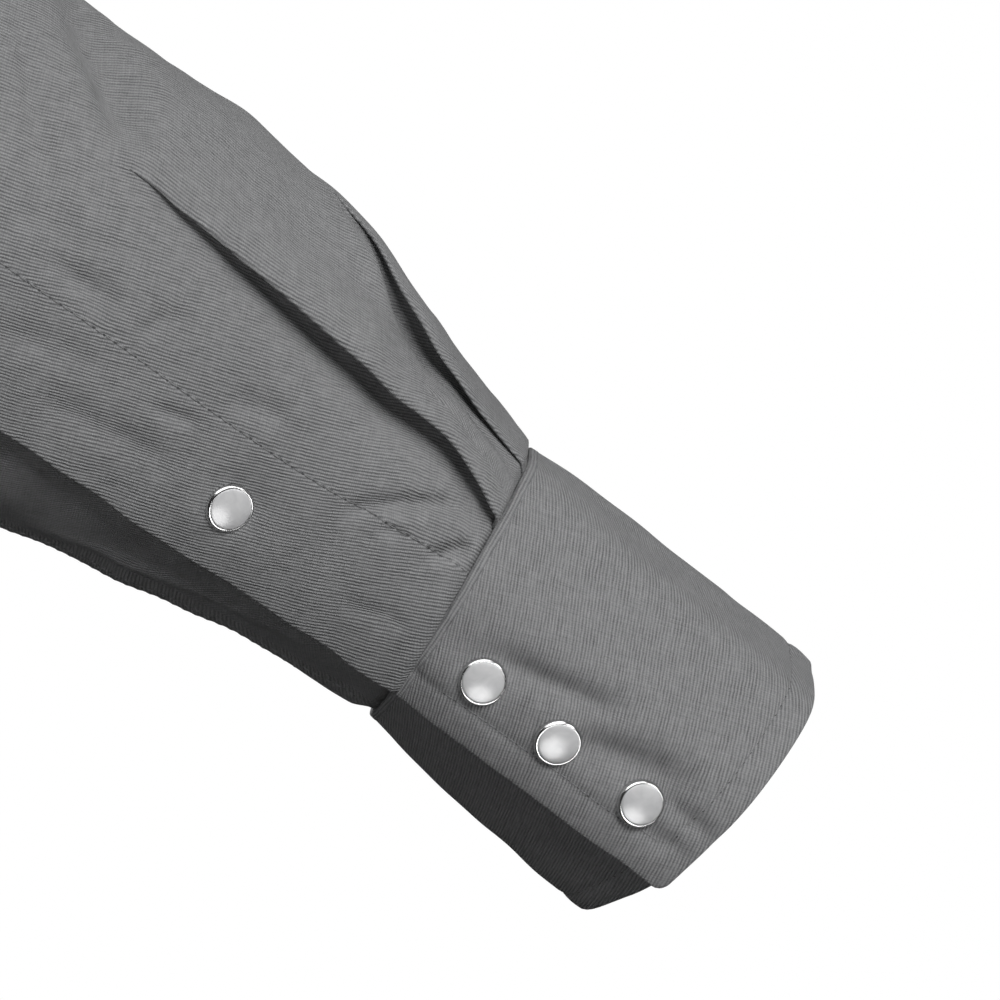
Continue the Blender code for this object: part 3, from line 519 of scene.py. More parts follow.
# How finely the pieces are divided: counts of rows or columns, and spacings in metres
ROWS_BELOW_ARMHOLE = 74
ROWS_ABOVE_ARMHOLE = 16
ARMHOLE_STEP = 4.5
BACK_COLUMNS = 141
FRONT_COLUMNS = 66
LAP_COLUMNS = 9
BAND_SPACING = (0.004, 0.0018)
STAND_SPACING = (0.004, 0.0025)
LEAF_SPACING = 0.0022
SLEEVE_START = 0.0006
SLEEVE_SPACING = 0.0042
SLEEVE_FINE_FROM = 0.300
SLEEVE_FINE_SPACING = 0.00115
SLEEVE_END = 0.007
SLEEVE_END_ROWS = 13
SLIT_COLUMNS = 18
SEWN_COLUMNS = 7
BEFORE_PLEAT_COLUMNS = 10
BETWEEN_PLEATS_COLUMNS = 3
ROUND_COLUMNS = 42
PLEAT_BASE = 0.34
PLEAT_FOLDED = 0.80
PLEAT_SHARE_COUNTS = (7, 17, 6)
FELL_COLUMNS = 13
UNDER_COLUMNS = 24
PLACKET_SPACING = (0.0012, 0.0010)
PLACKET_SEWN_FINE = (0.00045, 0.0018, 0.00014)
CUFF_SPACING = 0.00105
CUFF_SPACING_TO = 0.100
CUFF_WIDE_COLUMNS = 62
CUFF_SEAM_FINE = (0.0008, 0.0034, 0.00024)
EDGE_STEPS = np.array([0.0, 0.06, 0.25, 0.55])

# Points along the lines that stitches follow
CUFF_LAP_POINTS = 60
CUFF_HEM_POINTS = 200
PLACKET_POINTS = 160
PLACKET_CROSS_POINTS = 30
SLEEVE_POINTS = 220
ARMHOLE_POINTS = 300
SIDE_POINTS = 160
SHOULDER_POINTS = 60
HEM_POINTS = 560
BAND_POINTS = 300
LEAF_EDGE_POINTS = 300
LEAF_END_POINTS = 40

# The lowest turns round the body, the sleeve and the cuff, as counted in their creases
BODY_WRAP = 180.0
SLEEVE_WRAP = 125.0
CUFF_WRAP = 60.0

# Both arms, and whether each is mirrored
SIDES = (("left", False), ("right", True))
TINY = 1e-15

# The small steps that find a surface's normal
NORMAL_TURN = 0.4
NORMAL_WAY = 0.0015


def ease(share):
    share = np.clip(share, 0.0, 1.0)
    return share * share * (3.0 - 2.0 * share)


def bell(away, half_width):
    return np.exp(-((away / half_width) ** 2))


def read_table(rows, columns, wanted, place):
    """One column of a table at a place, on a smooth curve through its rows."""
    at = np.array([row[1] for row in rows])
    value = np.array([row[columns.index(wanted)] for row in rows])
    slope = np.gradient(value, at)
    place = np.clip(place, at[0], at[-1])
    low = np.clip(np.searchsorted(at, place, side="right") - 1, 0, len(at) - 2)
    span = at[low + 1] - at[low]
    t = (place - at[low]) / span
    start = (2 * t**3 - 3 * t**2 + 1) * value[low] + (t**3 - 2 * t**2 + t) * span * slope[low]
    end = (3 * t**2 - 2 * t**3) * value[low + 1] + (t**3 - t**2) * span * slope[low + 1]
    return start + end


def body_size(wanted, height):
    return read_table(BODY_RINGS, BODY_COLUMNS, wanted, height)


def arm_size(wanted, reach):
    return read_table(ARM_RINGS, ARM_COLUMNS, wanted, reach)


def placket_edge(wanted, above):
    return read_table(PLACKET_EDGES, PLACKET_COLUMNS, wanted, above)


def placket_turns(above):
    """The turns of the placket's free and sewn edges at a way above the cuff seam."""
    return placket_edge("free_angle", above), placket_edge("sewn_angle", above)


def wrapped(turn, least):
    """The same turn, counted from minus the least for one full turn."""
    return (turn + least) % 360.0 - least


def fold_place(fold, turn, way, per_turn, per_way):
    """How far along a fold a place lies, as a share of its length, and how far aside of it."""
    along_x = (fold["end_turn"] - fold["start_turn"]) * per_turn
    along_y = (fold["end_way"] - fold["start_way"]) * per_way
    length = np.hypot(along_x, along_y)
    from_x = (turn - fold["start_turn"]) * per_turn
    from_y = (way - fold["start_way"]) * per_way
    share = (from_x * along_x + from_y * along_y) / length**2
    return share, (from_x * along_y - from_y * along_x) / length


def fold_sum(folds, turn, way, per_turn, per_way):
    """Depth of all broad folds at a place: soft troughs that fade at both ends."""
    total = np.zeros(np.broadcast(turn, way).shape)
    for row in folds:
        fold = dict(zip(FOLD_COLUMNS, row))
        share, aside = fold_place(fold, turn, way, per_turn, per_way)
        start_fade = ease(share * FOLD_FADE + FOLD_FADE_START)
        end_fade = ease((1.0 - share) * FOLD_FADE + FOLD_FADE_START)
        total = total + fold["depth"] * bell(aside, fold["half_width"]) * (start_fade * end_fade)
    return total


def crease_sum(creases, turn, way, per_turn, per_way):
    """Depth of all creases at a place: each a trough between two low shoulders."""
    total = np.zeros(np.broadcast(turn, way).shape)
    for row in creases:
        crease = dict(zip(CREASE_COLUMNS, row))
        share, aside = fold_place(crease, turn, way, per_turn, per_way)
        middle = np.clip(4.0 * share * (1.0 - share), 0.0, 1.0)
        across = ((aside - crease["bow"] * middle) / crease["half_width"]) ** 2
        trough = (1.0 - CREASE_SHOULDER * across) * np.exp(-across)
        total = total + crease["depth"] * trough * ease(middle)
    return total


def torso(turn, height):
    """A place on the body: turn 0 is the front middle, 90 the wearer's left, 180 the back."""
    turn = np.asarray(turn, dtype=float)
    height = np.asarray(height, dtype=float)
    sine = np.sin(np.radians(turn))
    cosine = np.cos(np.radians(turn))
    in_front = cosine > 0
    level = cosine**2
    square = np.sin(2 * np.radians(turn)) ** 2
    square = square * (1.0 - ease((height - BODY_BOXY_TOP) / BODY_BOXY_FADE))
    signed_turn = wrapped(turn, BODY_WRAP)
    scale = (METRES_PER_DEGREE_BODY, METRES_PER_HEIGHT)
    fold = crease_sum(BODY_CREASES, signed_turn, height, *scale)
    for whole_turn in (0.0, 360.0):
        fold = fold + fold_sum(BODY_FOLDS, signed_turn + whole_turn, height, *scale)
    wave = np.cos(np.radians(HEM_WAVE_COUNT * turn + HEM_WAVE_START))
    drape = HEM_WAVE * (1.0 - ease(height / HEM_WAVE_TOP)) * wave
    half_width = body_size("half_width", height)
    reach = 1.0 + BODY_BOXY * square + (drape - fold) / half_width
    depth = np.where(in_front, body_size("front", height), body_size("back", height))
    middle_z = np.where(in_front, body_size("front_z", height), body_size("back_z", height))
    z = body_size("side_z", height) * (1.0 - level) + middle_z * level
    return np.stack([half_width * sine * reach, -depth * cosine * reach, z], axis=-1)


def direction(drop, forward):
    drop = np.radians(drop)
    forward = np.radians(forward)
    return np.array([
        np.cos(drop) * np.cos(forward),
        -np.sin(forward),
        -np.sin(drop) * np.cos(forward),
    ])


def unit(vectors):
    return vectors / np.linalg.norm(vectors, axis=-1, keepdims=True)


UPPER_WAY = direction(UPPER_DROP, UPPER_FORWARD)
FORE_WAY = direction(FORE_DROP, FORE_FORWARD)
ELBOW = np.array(ARMHOLE_CENTRE) + UPPER_ARM * UPPER_WAY


def arm_line(reach):
    """Middle of the arm and its direction at a way from the armhole centre."""
    reach = np.asarray(reach, dtype=float)[..., None]
    upper = np.array(ARMHOLE_CENTRE) + reach * UPPER_WAY
    fore = ELBOW + (reach - UPPER_ARM) * FORE_WAY
    t = np.clip((reach - UPPER_ARM + ELBOW_BLEND) / (2 * ELBOW_BLEND), 0.0, 1.0)
    bend_start = ELBOW - ELBOW_BLEND * UPPER_WAY
    bend_end = ELBOW + ELBOW_BLEND * FORE_WAY
    bend = (1 - t) ** 2 * bend_start + 2 * t * (1 - t) * ELBOW + t**2 * bend_end
    middle = np.where(t <= 0, upper, np.where(t >= 1, fore, bend))
    return middle, unit((1 - t) * UPPER_WAY + t * FORE_WAY)


def arm_frame(way):
    """Two directions across the arm: towards the back, and towards the outer side."""
    back = np.array([0.0, 1.0, 0.0]) - way[..., 1:2] * way
    back = unit(back)
    outer = np.cross(way, back)
    return back, outer


def armhole(turn):
    """The armhole loop on the wearer's left by the turn round the arm."""
    turn = np.radians(turn)
    height = ARMHOLE_MIDDLE + ARMHOLE_HALF * np.sin(turn)
    return torso(90.0 + ARMHOLE_SPREAD * np.cos(turn), height)


def slanted(shift, turn):
    """How far a slanted cuff end lies down the arm from a square one."""
    angle = np.radians(turn)
    return shift[0] * np.cos(angle) + shift[1] * np.sin(angle)


def fell_turn(reach):
    """Where the sleeve's own seam runs: under the arm, a little to the back near the cuff."""
    return -90.0 + (FELL_TURN_LOW + 90.0) * ease(reach / FELL_TURN_FADE)


def long_waves(turn, way):
    """The slight unevenness of worn cloth, in long waves."""
    total = 0.0
    for round_count, along_count, start, size in LONG_WAVES:
        phase = np.radians(round_count * turn) + along_count * WAVE_SCALE * way + start
        total = total + size * np.sin(phase)
    return total


def sleeve_relief(turn, reach):
    """How far creases, waves and the felled seam move the sleeve's cloth out."""
    signed = wrapped(turn, SLEEVE_WRAP)
    crease = crease_sum(SLEEVE_CREASES, signed, reach, METRES_PER_DEGREE_ARM, 1.0)
    aside = np.abs(signed - fell_turn(reach)) * METRES_PER_DEGREE_ARM
    ridge = ease((FELL_WIDE / 2 + FELL_SOFT / 2 - aside) / FELL_SOFT)
    rows = bell(aside - FELL_WIDE / 2 + EDGE_STITCH, FELL_GROOVE_WIDE)
    return long_waves(turn, reach) - crease + FELL_HIGH * ridge - FELL_GROOVE * rows


def arm_ring(turn, reach, out=0.0):
    """A place on the arm's tube: turn 0 is the back, 90 the outer side, 180 the front."""
    middle, way = arm_line(reach)
    back, outer = arm_frame(way)
    angle = np.radians(turn)
    fold = fold_sum(ARM_FOLDS, turn % 360.0, reach, METRES_PER_DEGREE_ARM, 1.0)
    deep = (arm_size("deep", reach) - fold + out) * np.cos(angle)
    across = (arm_size("across", reach) - fold + out) * np.sin(angle) + arm_size("lift", reach)
    return middle + deep[..., None] * back + across[..., None] * outer


def sleeve(turn, reach, out=0.0):
    """A place on the sleeve: it starts on the armhole loop and straightens down the arm."""
    turn = np.asarray(turn, dtype=float)
    reach = np.asarray(reach, dtype=float)
    start = armhole(turn)
    slant = (start - np.array(ARMHOLE_CENTRE)) @ UPPER_WAY
    near_cuff = 1.0 - ease((SLEEVE_LENGTH - reach) / SHIFT_FADE)
    skewed = reach + (1.0 - ease(reach / SLANT_FADE)) * slant
    skewed = skewed + slanted(SEAM_SHIFT, turn) * near_cuff
    fitted = (start - arm_ring(turn, slant)) * (1.0 - ease(reach / FIT_FADE))[..., None]
    calm = ease(reach / CALM_AT_ARMHOLE) * ease((SLEEVE_LENGTH - reach) / CALM_AT_CUFF)
    return arm_ring(turn, skewed, out + sleeve_relief(turn, reach) * calm) + fitted


def snap_pull(around, along, lean):
    """How far a snap draws the cloth in, tilting it down the arm and outwards as it hangs."""
    near = bell(np.hypot(around, along), SNAP_PULL_WIDE)
    return (SNAP_DENT + lean[0] * along + lean[1] * around) * near


def cuff_relief(turn, down):
    """How far creases, the pleats' bulk and the snaps' pull move the cuff's cloth out."""
    signed = wrapped(turn, CUFF_WRAP)
    relief = CUFF_WAVE_SHARE * long_waves(turn, down)
    relief = relief - crease_sum(CUFF_CREASES, signed, down, METRES_PER_DEGREE_CUFF, 1.0)
    for pleat in PLEATS:
        middle = pleat[0][PLEAT_COLUMNS.index("angle")] + PLEAT_BULK_AWAY
        bulk = bell(turn - middle, PLEAT_BULK_TURN) * bell(down, PLEAT_BULK_DOWN)
        relief = relief + PLEAT_BULK * bulk
    for from_lap, snap_down, *lean in CUFF_SNAPS:
        around = (turn - cuff_lap(down) - from_lap) * METRES_PER_DEGREE_CUFF
        relief = relief - snap_pull(around, down - snap_down, lean)
    return relief


def cuff(turn, down, out=0.0):
    """A place on the cuff, whose outer end laps over the inner end a full turn on."""
    turn = np.asarray(turn, dtype=float)
    down = np.asarray(down, dtype=float)
    share = down / CUFF_DEEP
    shift = slanted(SEAM_SHIFT, turn) * (1.0 - share) + slanted(HEM_SHIFT, turn) * share
    middle, way = arm_line(SLEEVE_LENGTH + down + shift)
    back, outer = arm_frame(way)
    lap = cuff_lap(down)
    step = CUFF_LAP_STEP * (1.0 - ease((turn - CUFF_STEP_START) / CUFF_STEP_SPAN))
    lip = CUFF_LIP * np.clip((CUFF_LIP_START - turn) / (CUFF_LIP_START - lap), 0.0, 1.0) ** 2
    radius = read_table(CUFF_RINGS, CUFF_COLUMNS, "radius", down)
    radius = radius + step + lip + cuff_relief(turn, down) + out
    lift = read_table(CUFF_RINGS, CUFF_COLUMNS, "lift", down)
    angle = np.radians(turn)
    deep = radius * np.cos(angle)
    across = radius * np.sin(angle) + lift
    return middle + deep[..., None] * back + across[..., None] * outer


def cuff_lap(down):
    return read_table(CUFF_RINGS, CUFF_COLUMNS, "lap_angle", down)


def normal_at(surface, first, second):
    first = np.asarray(first, dtype=float)
    second = np.asarray(second, dtype=float)
    along = surface(first + NORMAL_TURN, second) - surface(first - NORMAL_TURN, second)
    down = surface(first, second + NORMAL_WAY) - surface(first, second - NORMAL_WAY)
    return unit(np.cross(along, down))


def moved_out(surface, first, second, out):
    """Places on a surface, moved out along its normal."""
    first = np.asarray(first, dtype=float)
    second = np.asarray(second, dtype=float)
    return surface(first, second) + np.asarray(out)[..., None] * normal_at(surface, first, second)


def grid_normals(points):
    """Normals of a grid of points, outward as the solids' faces are wound."""
    along = np.gradient(points, axis=1)
    down = np.gradient(points, axis=0)
    return unit(np.cross(along, down) + TINY)


def row_arcs(points, zero_column):
    """The way along each row of a grid, from one of its columns."""
    steps = np.linalg.norm(np.diff(points, axis=1), axis=-1)
    arcs = np.concatenate([np.zeros((len(points), 1)), np.cumsum(steps, axis=1)], axis=1)
    return arcs - arcs[:, zero_column:zero_column + 1]


def grid_weave(across, along):
    """The weave's two measures at each point of a grid."""
    return np.stack(np.broadcast_arrays(across, along), axis=-1)


def nearest_edge(first, first_size, second, second_size):
    """The way from each place of a piece to its nearest edge."""
    from_first = np.minimum(first, first_size - first)
    return np.minimum(from_first, np.minimum(second, second_size - second))


def add_mesh(name, points, faces, weave, material):
    """A smooth mesh from arrays, with the weave's metres at the corners of its faces."""
    mesh = bpy.data.meshes.new(name)
    mesh.vertices.add(len(points))
    mesh.vertices.foreach_set("co", points.astype(np.float32).ravel())
    faces = np.asarray(faces, dtype=np.int32)
    mesh.loops.add(faces.size)
    mesh.loops.foreach_set("vertex_index", faces.ravel())
    mesh.polygons.add(len(faces))
    starts = np.arange(0, faces.size, faces.shape[1], dtype=np.int32)
    mesh.polygons.foreach_set("loop_start", starts)
    mesh.update(calc_edges=True)
    if weave is not None:
        layer = mesh.uv_layers.new(name="weave")
        layer.uv.foreach_set("vector", weave.astype(np.float32).ravel())
    mesh.validate()
    mesh.shade_smooth()
    mesh.materials.append(material)
    piece = bpy.data.objects.new(name, mesh)
    bpy.context.scene.collection.objects.link(piece)
    return piece


def mirrored_points(points):
    return points * np.array([-1.0, 1.0, 1.0])


def grid_faces(index, flipped=False):
    corners = [index[:-1, :-1], index[:-1, 1:], index[1:, 1:], index[1:, :-1]]
    if flipped:
        corners = corners[::-1]
    return np.stack(corners, axis=-1).reshape(-1, 4)


def woven(weave, faces, turned, angle):
    """The weave at the corners of faces, turned by an angle where the cloth is cut or folded so."""
    places = weave.reshape(-1, 2)[faces]
    if turned is not None:
        cosine, sine = np.cos(np.radians(angle)), np.sin(np.radians(angle))
        turning = np.array([[cosine, -sine], [sine, cosine]])
        places[turned.ravel()] = places[turned.ravel()] @ turning
    return places


def sheet_piece(name, points, weave, material, mirrored=False, joined_rows=0, cross_cut=None):
    """A thin cloth piece on a grid of points. The first rows may close into a tube.

    The weave is turned a quarter in the columns that are cut across.
    """
    if mirrored:
        points = mirrored_points(points)
    rows, columns = points.shape[:2]
    plain_index = np.arange(rows * columns).reshape(rows, columns)
    index = plain_index.copy()
    index[:joined_rows, -1] = index[:joined_rows, 0]
    turned = None
    if cross_cut is not None:
        turned = np.zeros((rows - 1, columns - 1), dtype=bool)
        turned[:, cross_cut] = True
    places = woven(weave, grid_faces(plain_index, mirrored), turned, 90.0)
    piece = add_mesh(name, points.reshape(-1, 3), grid_faces(index, mirrored), places, material)
    solid = piece.modifiers.new("thickness", "SOLIDIFY")
    solid.thickness = SHELL
    solid.offset = 0.0
    return piece


def rounded_piece(
    name, points, edge_way, thickness, weave, material, mirrored=False, turned=None
):
    """A doubled cloth piece with pressed edges: edge_way is the way to its nearest edge."""
    rows, columns = points.shape[:2]
    normal = grid_normals(points)
    inside = np.clip(edge_way / (thickness * EDGE_ROUND), 0.0, 1.0)
    half = thickness / 2 * np.sqrt(1.0 - (1.0 - inside) ** 2)
    outer = points + half[..., None] * normal
    inner = points - half[..., None] * normal
    both = np.concatenate([outer.reshape(-1, 3), inner.reshape(-1, 3)])
    if mirrored:
        both = mirrored_points(both)
    outer_index = np.arange(rows * columns).reshape(rows, columns)
    inner_index = outer_index + rows * columns
    for edge in (np.s_[0, :], np.s_[-1, :], np.s_[:, 0], np.s_[:, -1]):
        inner_index[edge] = outer_index[edge]
    faces = []
    places = []
    for index, flipped in ((outer_index, mirrored), (inner_index, not mirrored)):
        faces.append(grid_faces(index, flipped))
        places.append(woven(weave, grid_faces(outer_index, flipped), turned, WALE_ANGLE))
    used, new_index = np.unique(np.concatenate(faces), return_inverse=True)
    new_faces = new_index.reshape(-1, 4)
    return add_mesh(name, both[used], new_faces, np.concatenate(places), material)


def edge_ways(thickness):
    """How far the rounding of an edge reaches in, and close ways across it."""
    half = thickness * EDGE_ROUND
    return half, half * EDGE_STEPS


def edge_spaced(length, thickness, spacing):
    """Ways along a piece with close ones at both ends, where its edge is rounded."""
    half, near = edge_ways(thickness)
    count = max(2, int(round((length - 2 * half) / spacing)))
    middle = np.linspace(half, length - half, count + 1)
    return np.concatenate([near, middle, length - near[::-1]])


def dress(piece, slot, *nodes):
    """Rides the piece on the body and hides the solids it stands for; the slot is not used."""
    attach(piece, "root")
    if nodes:
        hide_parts(*nodes)
    return piece


# Materials


def value_math(nodes, links, operation, first, second=None, third=None):
    node = nodes.new("ShaderNodeMath")
    node.operation = operation
    for slot, value in enumerate((first, second, third)):
        if value is None:
            continue
        if isinstance(value, (int, float)):
            node.inputs[slot].default_value = value
        else:
            links.new(value, node.inputs[slot])
    return node.outputs[0]


def new_material(name):
    """A material, its nodes and links, and its shader."""
    material = bpy.data.materials.new(name)
    material.use_nodes = True
    tree = material.node_tree
    return material, tree.nodes, tree.links, tree.nodes["Principled BSDF"]


def noise(nodes, links, vector, scale, detail, stretch=(1.0, 1.0)):
    mapping = nodes.new("ShaderNodeMapping")
    mapping.inputs["Scale"].default_value = (stretch[0], stretch[1], 1.0)
    links.new(vector, mapping.inputs["Vector"])
    texture = nodes.new("ShaderNodeTexNoise")
    texture.inputs["Scale"].default_value = scale
    texture.inputs["Detail"].default_value = detail
    links.new(mapping.outputs["Vector"], texture.inputs["Vector"])
    return texture.outputs["Fac"]


def object_noise(nodes, links, scale):
    """A noise node that is fixed to the piece."""
    place = nodes.new("ShaderNodeTexCoord")
    texture = nodes.new("ShaderNodeTexNoise")
    texture.inputs["Scale"].default_value = scale
    links.new(place.outputs["Object"], texture.inputs["Vector"])
    return texture


def colour_by(nodes, links, factor, dark, light, shader):
    """Gives the shader a colour between two, by a factor."""
    mix = nodes.new("ShaderNodeMix")
    mix.data_type = "RGBA"
    mix.inputs["A"].default_value = (*dark, 1.0)
    mix.inputs["B"].default_value = (*light, 1.0)
    links.new(factor, mix.inputs["Factor"])
    links.new(mix.outputs["Result"], shader.inputs["Base Color"])


def bump_by(nodes, links, height, distance, shader):
    """Gives the shader a fine relief."""
    bump = nodes.new("ShaderNodeBump")
    bump.inputs["Strength"].default_value = 1.0
    bump.inputs["Distance"].default_value = distance
    links.new(height, bump.inputs["Height"])
    links.new(bump.outputs["Normal"], shader.inputs["Normal"])


def twill_material():
    """Plain grey cotton twill: diagonal wales of floats, with slubs and a faint mottle, and painted
    shade in the weave's low grooves.
    """
    material, nodes, links, shader = new_material("grey_twill_cloth")
    uv = nodes.new("ShaderNodeUVMap")
    uv.uv_map = "weave"
    place = uv.outputs["UV"]
    parts = nodes.new("ShaderNodeSeparateXYZ")
    links.new(place, parts.inputs["Vector"])
    across, along = parts.outputs["X"], parts.outputs["Y"]

    def calc(operation, first, second=None, third=None):
        return value_math(nodes, links, operation, first, second, third)

    def wave(phase, shake):
        shaken = calc("MULTIPLY_ADD", noises["wobble"], shake, phase)
        sine = calc("SINE", calc("MULTIPLY", shaken, 2 * np.pi))
        return calc("MULTIPLY_ADD", sine, 0.5, 0.5)

    angle = np.radians(WALE_ANGLE)
    drift = noise(nodes, links, place, DRIFT_SCALE, 1.0)
    phase = calc("MULTIPLY", across, float(np.cos(angle) / WALE_PITCH))
    phase = calc("MULTIPLY_ADD", along, float(-np.sin(angle) / WALE_PITCH), phase)
    phase = calc("MULTIPLY_ADD", drift, WALE_DRIFT, phase)
    step = calc("MULTIPLY", across, float(np.sin(angle) / FLOAT_PITCH))
    step = calc("MULTIPLY_ADD", along, float(np.cos(angle) / FLOAT_PITCH), step)
    cell = nodes.new("ShaderNodeCombineXYZ")
    links.new(phase, cell.inputs["X"])
    links.new(step, cell.inputs["Y"])
    noises = {"mottle": noise(nodes, links, place, MOTTLE_SCALE, 3.0)}
    for name, *stretch in TWILL_NOISES:
        noises[name] = noise(nodes, links, cell.outputs["Vector"], 1.0, 2.0, stretch)
    wale = calc("POWER", wave(phase, WALE_SHAKE), WALE_SHARP)
    floats = wave(step, FLOAT_SHAKE)
    clear = calc("MULTIPLY_ADD", noises["patch"], CLEAR_SPREAD, CLEAR_LEAST)

    height = calc("MULTIPLY_ADD", floats, FLOAT_HEIGHT, 1.0 - FLOAT_HEIGHT)
    height = calc("MULTIPLY", calc("MULTIPLY", wale, height), clear)
    for name, share in HEIGHT_SHARES:
        height = calc("MULTIPLY_ADD", noises[name], share, height)
    # Darker in the low grooves between wales and floats: partly the weave's own pattern, partly
    # painted shade
    tone = calc("SUBTRACT", wale, WALE_MIDDLE)
    tone = calc("MULTIPLY", tone, calc("MULTIPLY", clear, WALE_TONE_AND_GROOVE_SHADE))
    tone = calc("MULTIPLY_ADD", floats, FLOAT_TONE_AND_GROOVE_SHADE, tone)
    for name, share in TONE_SHARES:
        tone = calc("MULTIPLY_ADD", noises[name], share, tone)
    tone = calc("SUBTRACT", tone, TONE_LOWERED)
    colour_by(nodes, links, tone, TWILL_DARK, TWILL_LIGHT, shader)
    bump_by(nodes, links, height, TWILL_BUMP, shader)
    shader.inputs["Roughness"].default_value = 0.88
    shader.inputs["Specular IOR Level"].default_value = 0.25
    shader.inputs["Sheen Weight"].default_value = 0.08
    shader.inputs["Sheen Roughness"].default_value = 0.5
    material.diffuse_color = (0.2, 0.2, 0.2, 1.0)
    return material


def thread_material():
    """Sewing thread in the cloth's colour, with its twist as fine bump."""
    material, nodes, links, shader = new_material("grey_thread")
    twist = object_noise(nodes, links, 2500.0).outputs["Fac"]
    colour_by(nodes, links, twist, THREAD_DARK, THREAD_LIGHT, shader)
    bump_by(nodes, links, twist, THREAD_BUMP, shader)
    shader.inputs["Roughness"].default_value = 0.7
    return material


def hole_shade_material():
    """Painted shade where the needle went through between two stitches: a dark colour for the
    shadow there.
    """
    material, nodes, links, shader = new_material("needle_hole_painted_shade")
    texture = object_noise(nodes, links, 1800.0)
    colour_by(nodes, links, texture.outputs["Fac"], HOLE_SHADE_DARK, HOLE_SHADE_LIGHT, shader)
    shader.inputs["Roughness"].default_value = 0.95
    return material


def chrome_material():
    """The snaps' rolled metal rim, bright with faint marks."""
    material, nodes, links, shader = new_material("snap_rim")
    shader.inputs["Base Color"].default_value = (0.68, 0.68, 0.68, 1.0)
    shader.inputs["Metallic"].default_value = 1.0
    texture = object_noise(nodes, links, 500.0)
    texture.inputs["Detail"].default_value = 4.0
    spread = nodes.new("ShaderNodeMapRange")
    spread.inputs["To Min"].default_value = RIM_ROUGHNESS[0]
    spread.inputs["To Max"].default_value = RIM_ROUGHNESS[1]
    links.new(texture.outputs["Fac"], spread.inputs["Value"])
    links.new(spread.outputs["Result"], shader.inputs["Roughness"])
    return material


def pearl_material():
    """The snaps' pearl dome: pale, clear on top, with soft cloudy bands."""
    material, nodes, links, shader = new_material("snap_pearl_dome")
    texture = object_noise(nodes, links, 260.0)
    texture.inputs["Detail"].default_value = 2.0
    texture.inputs["Distortion"].default_value = 1.2
    colour_by(nodes, links, texture.outputs["Fac"], PEARL_DARK, PEARL_LIGHT, shader)
    shader.inputs["Roughness"].default_value = 0.38
    shader.inputs["Coat Weight"].default_value = 1.0
    shader.inputs["Coat Roughness"].default_value = 0.25
    return material


# Cloth pieces


def body_rows():
    """Heights of the body's rows at the side, where they follow the armhole, and at the middle."""
    low, high = ARMHOLE_MIDDLE - ARMHOLE_HALF, ARMHOLE_MIDDLE + ARMHOLE_HALF
    below = np.linspace(0.0, low, ROWS_BELOW_ARMHOLE)[:-1]
    loop_turn = np.radians(np.arange(-90.0, 90.1, ARMHOLE_STEP))
    loop = ARMHOLE_MIDDLE + ARMHOLE_HALF * np.sin(loop_turn)
    even = np.linspace(low, high, len(loop))
    above = np.linspace(high, 1.0, ROWS_ABOVE_ARMHOLE)[1:]
    return [np.concatenate([below, part, above])[:, None] for part in (loop, even)]


def lap_half_angle(height):
    """Half the lap's width at the front, as a turn round the body."""
    return np.degrees(np.arcsin(BAND_WIDTH / 2 / body_size("half_width", height)))


def side_turn(height, towards_back):
    """Where a body piece ends at the side: seam, then armhole, then shoulder seam."""
    sine = np.clip((height - ARMHOLE_MIDDLE) / ARMHOLE_HALF, -1.0, 1.0)
    opening = ARMHOLE_SPREAD * np.sqrt(1.0 - sine**2)
    setback = np.degrees(SEAM_SETBACK / 4 / body_size("front", height))
    return 90.0 + opening + setback if towards_back else 90.0 - opening - setback


def body_weave(points, heights):
    arcs = row_arcs(points, points.shape[1] // 2)
    return grid_weave(arcs, (1.0 - heights) * METRES_PER_HEIGHT)


def make_back(cloth):
    at_side, at_middle = body_rows()
    share = np.linspace(-1.0, 1.0, BACK_COLUMNS)[None, :]
    heights = at_middle + (at_side - at_middle) * np.abs(share)
    opening = side_turn(at_side, True) - 90.0
    turn = 180.0 + (90.0 - opening * np.abs(share)) * share
    points = torso(turn, heights)
    piece = sheet_piece("back_cloth", points, body_weave(points, heights), cloth)
    dress(piece, "grey_twill", "back")


def make_fronts(cloth):
    at_side, at_middle = body_rows()
    lap = lap_half_angle(at_middle)
    opening = 90.0 - side_turn(at_side, False)
    share = np.linspace(0.0, 1.0, FRONT_COLUMNS)[None, 1:]
    over = np.linspace(-1.0, 1.0, LAP_COLUMNS)[None, :]
    left_turn = np.hstack([lap * over, lap + (90.0 - lap - opening * share) * share])
    heights = np.hstack([at_middle + 0.0 * over, at_middle + (at_side - at_middle) * share])
    left = torso(left_turn, heights)
    right_turn = -left_turn[:, ::-1]
    right_heights = heights[:, ::-1]
    tucked = -LAP_STEP * ease((right_turn + 3 * lap) / (2 * lap))
    right = moved_out(torso, right_turn, right_heights, tucked)
    for side, points, rows in (("left", left, heights), ("right", right, right_heights)):
        name = "front_%s_cloth" % side
        piece = sheet_piece(name, points, body_weave(points, rows), cloth)
        dress(piece, "grey_twill", "front_" + side)


def make_band(cloth):
    length = (BAND_TOP - BAND_FOOT) * METRES_PER_HEIGHT
    down = edge_spaced(length, BAND_CLOTH, BAND_SPACING[0])[::-1, None]
    side = edge_spaced(BAND_WIDTH, BAND_CLOTH, BAND_SPACING[1])[None, :]
    height = BAND_TOP - down / METRES_PER_HEIGHT
    turn = (side / BAND_WIDTH * 2.0 - 1.0) * lap_half_angle(height)
    from_side = np.minimum(side, BAND_WIDTH - side)
    groove = BAND_GROOVE * bell(from_side - BAND_STITCH, BAND_GROOVE_WIDE)
    points = moved_out(torso, turn, height + 0.0 * side, BAND_STEP - groove)
    edge_way = nearest_edge(side, BAND_WIDTH, down, length)
    weave = grid_weave(side, down)
    piece = rounded_piece("front_band_cloth", points, edge_way, BAND_CLOTH, weave, cloth)
    dress(piece, "grey_twill", "front_band")


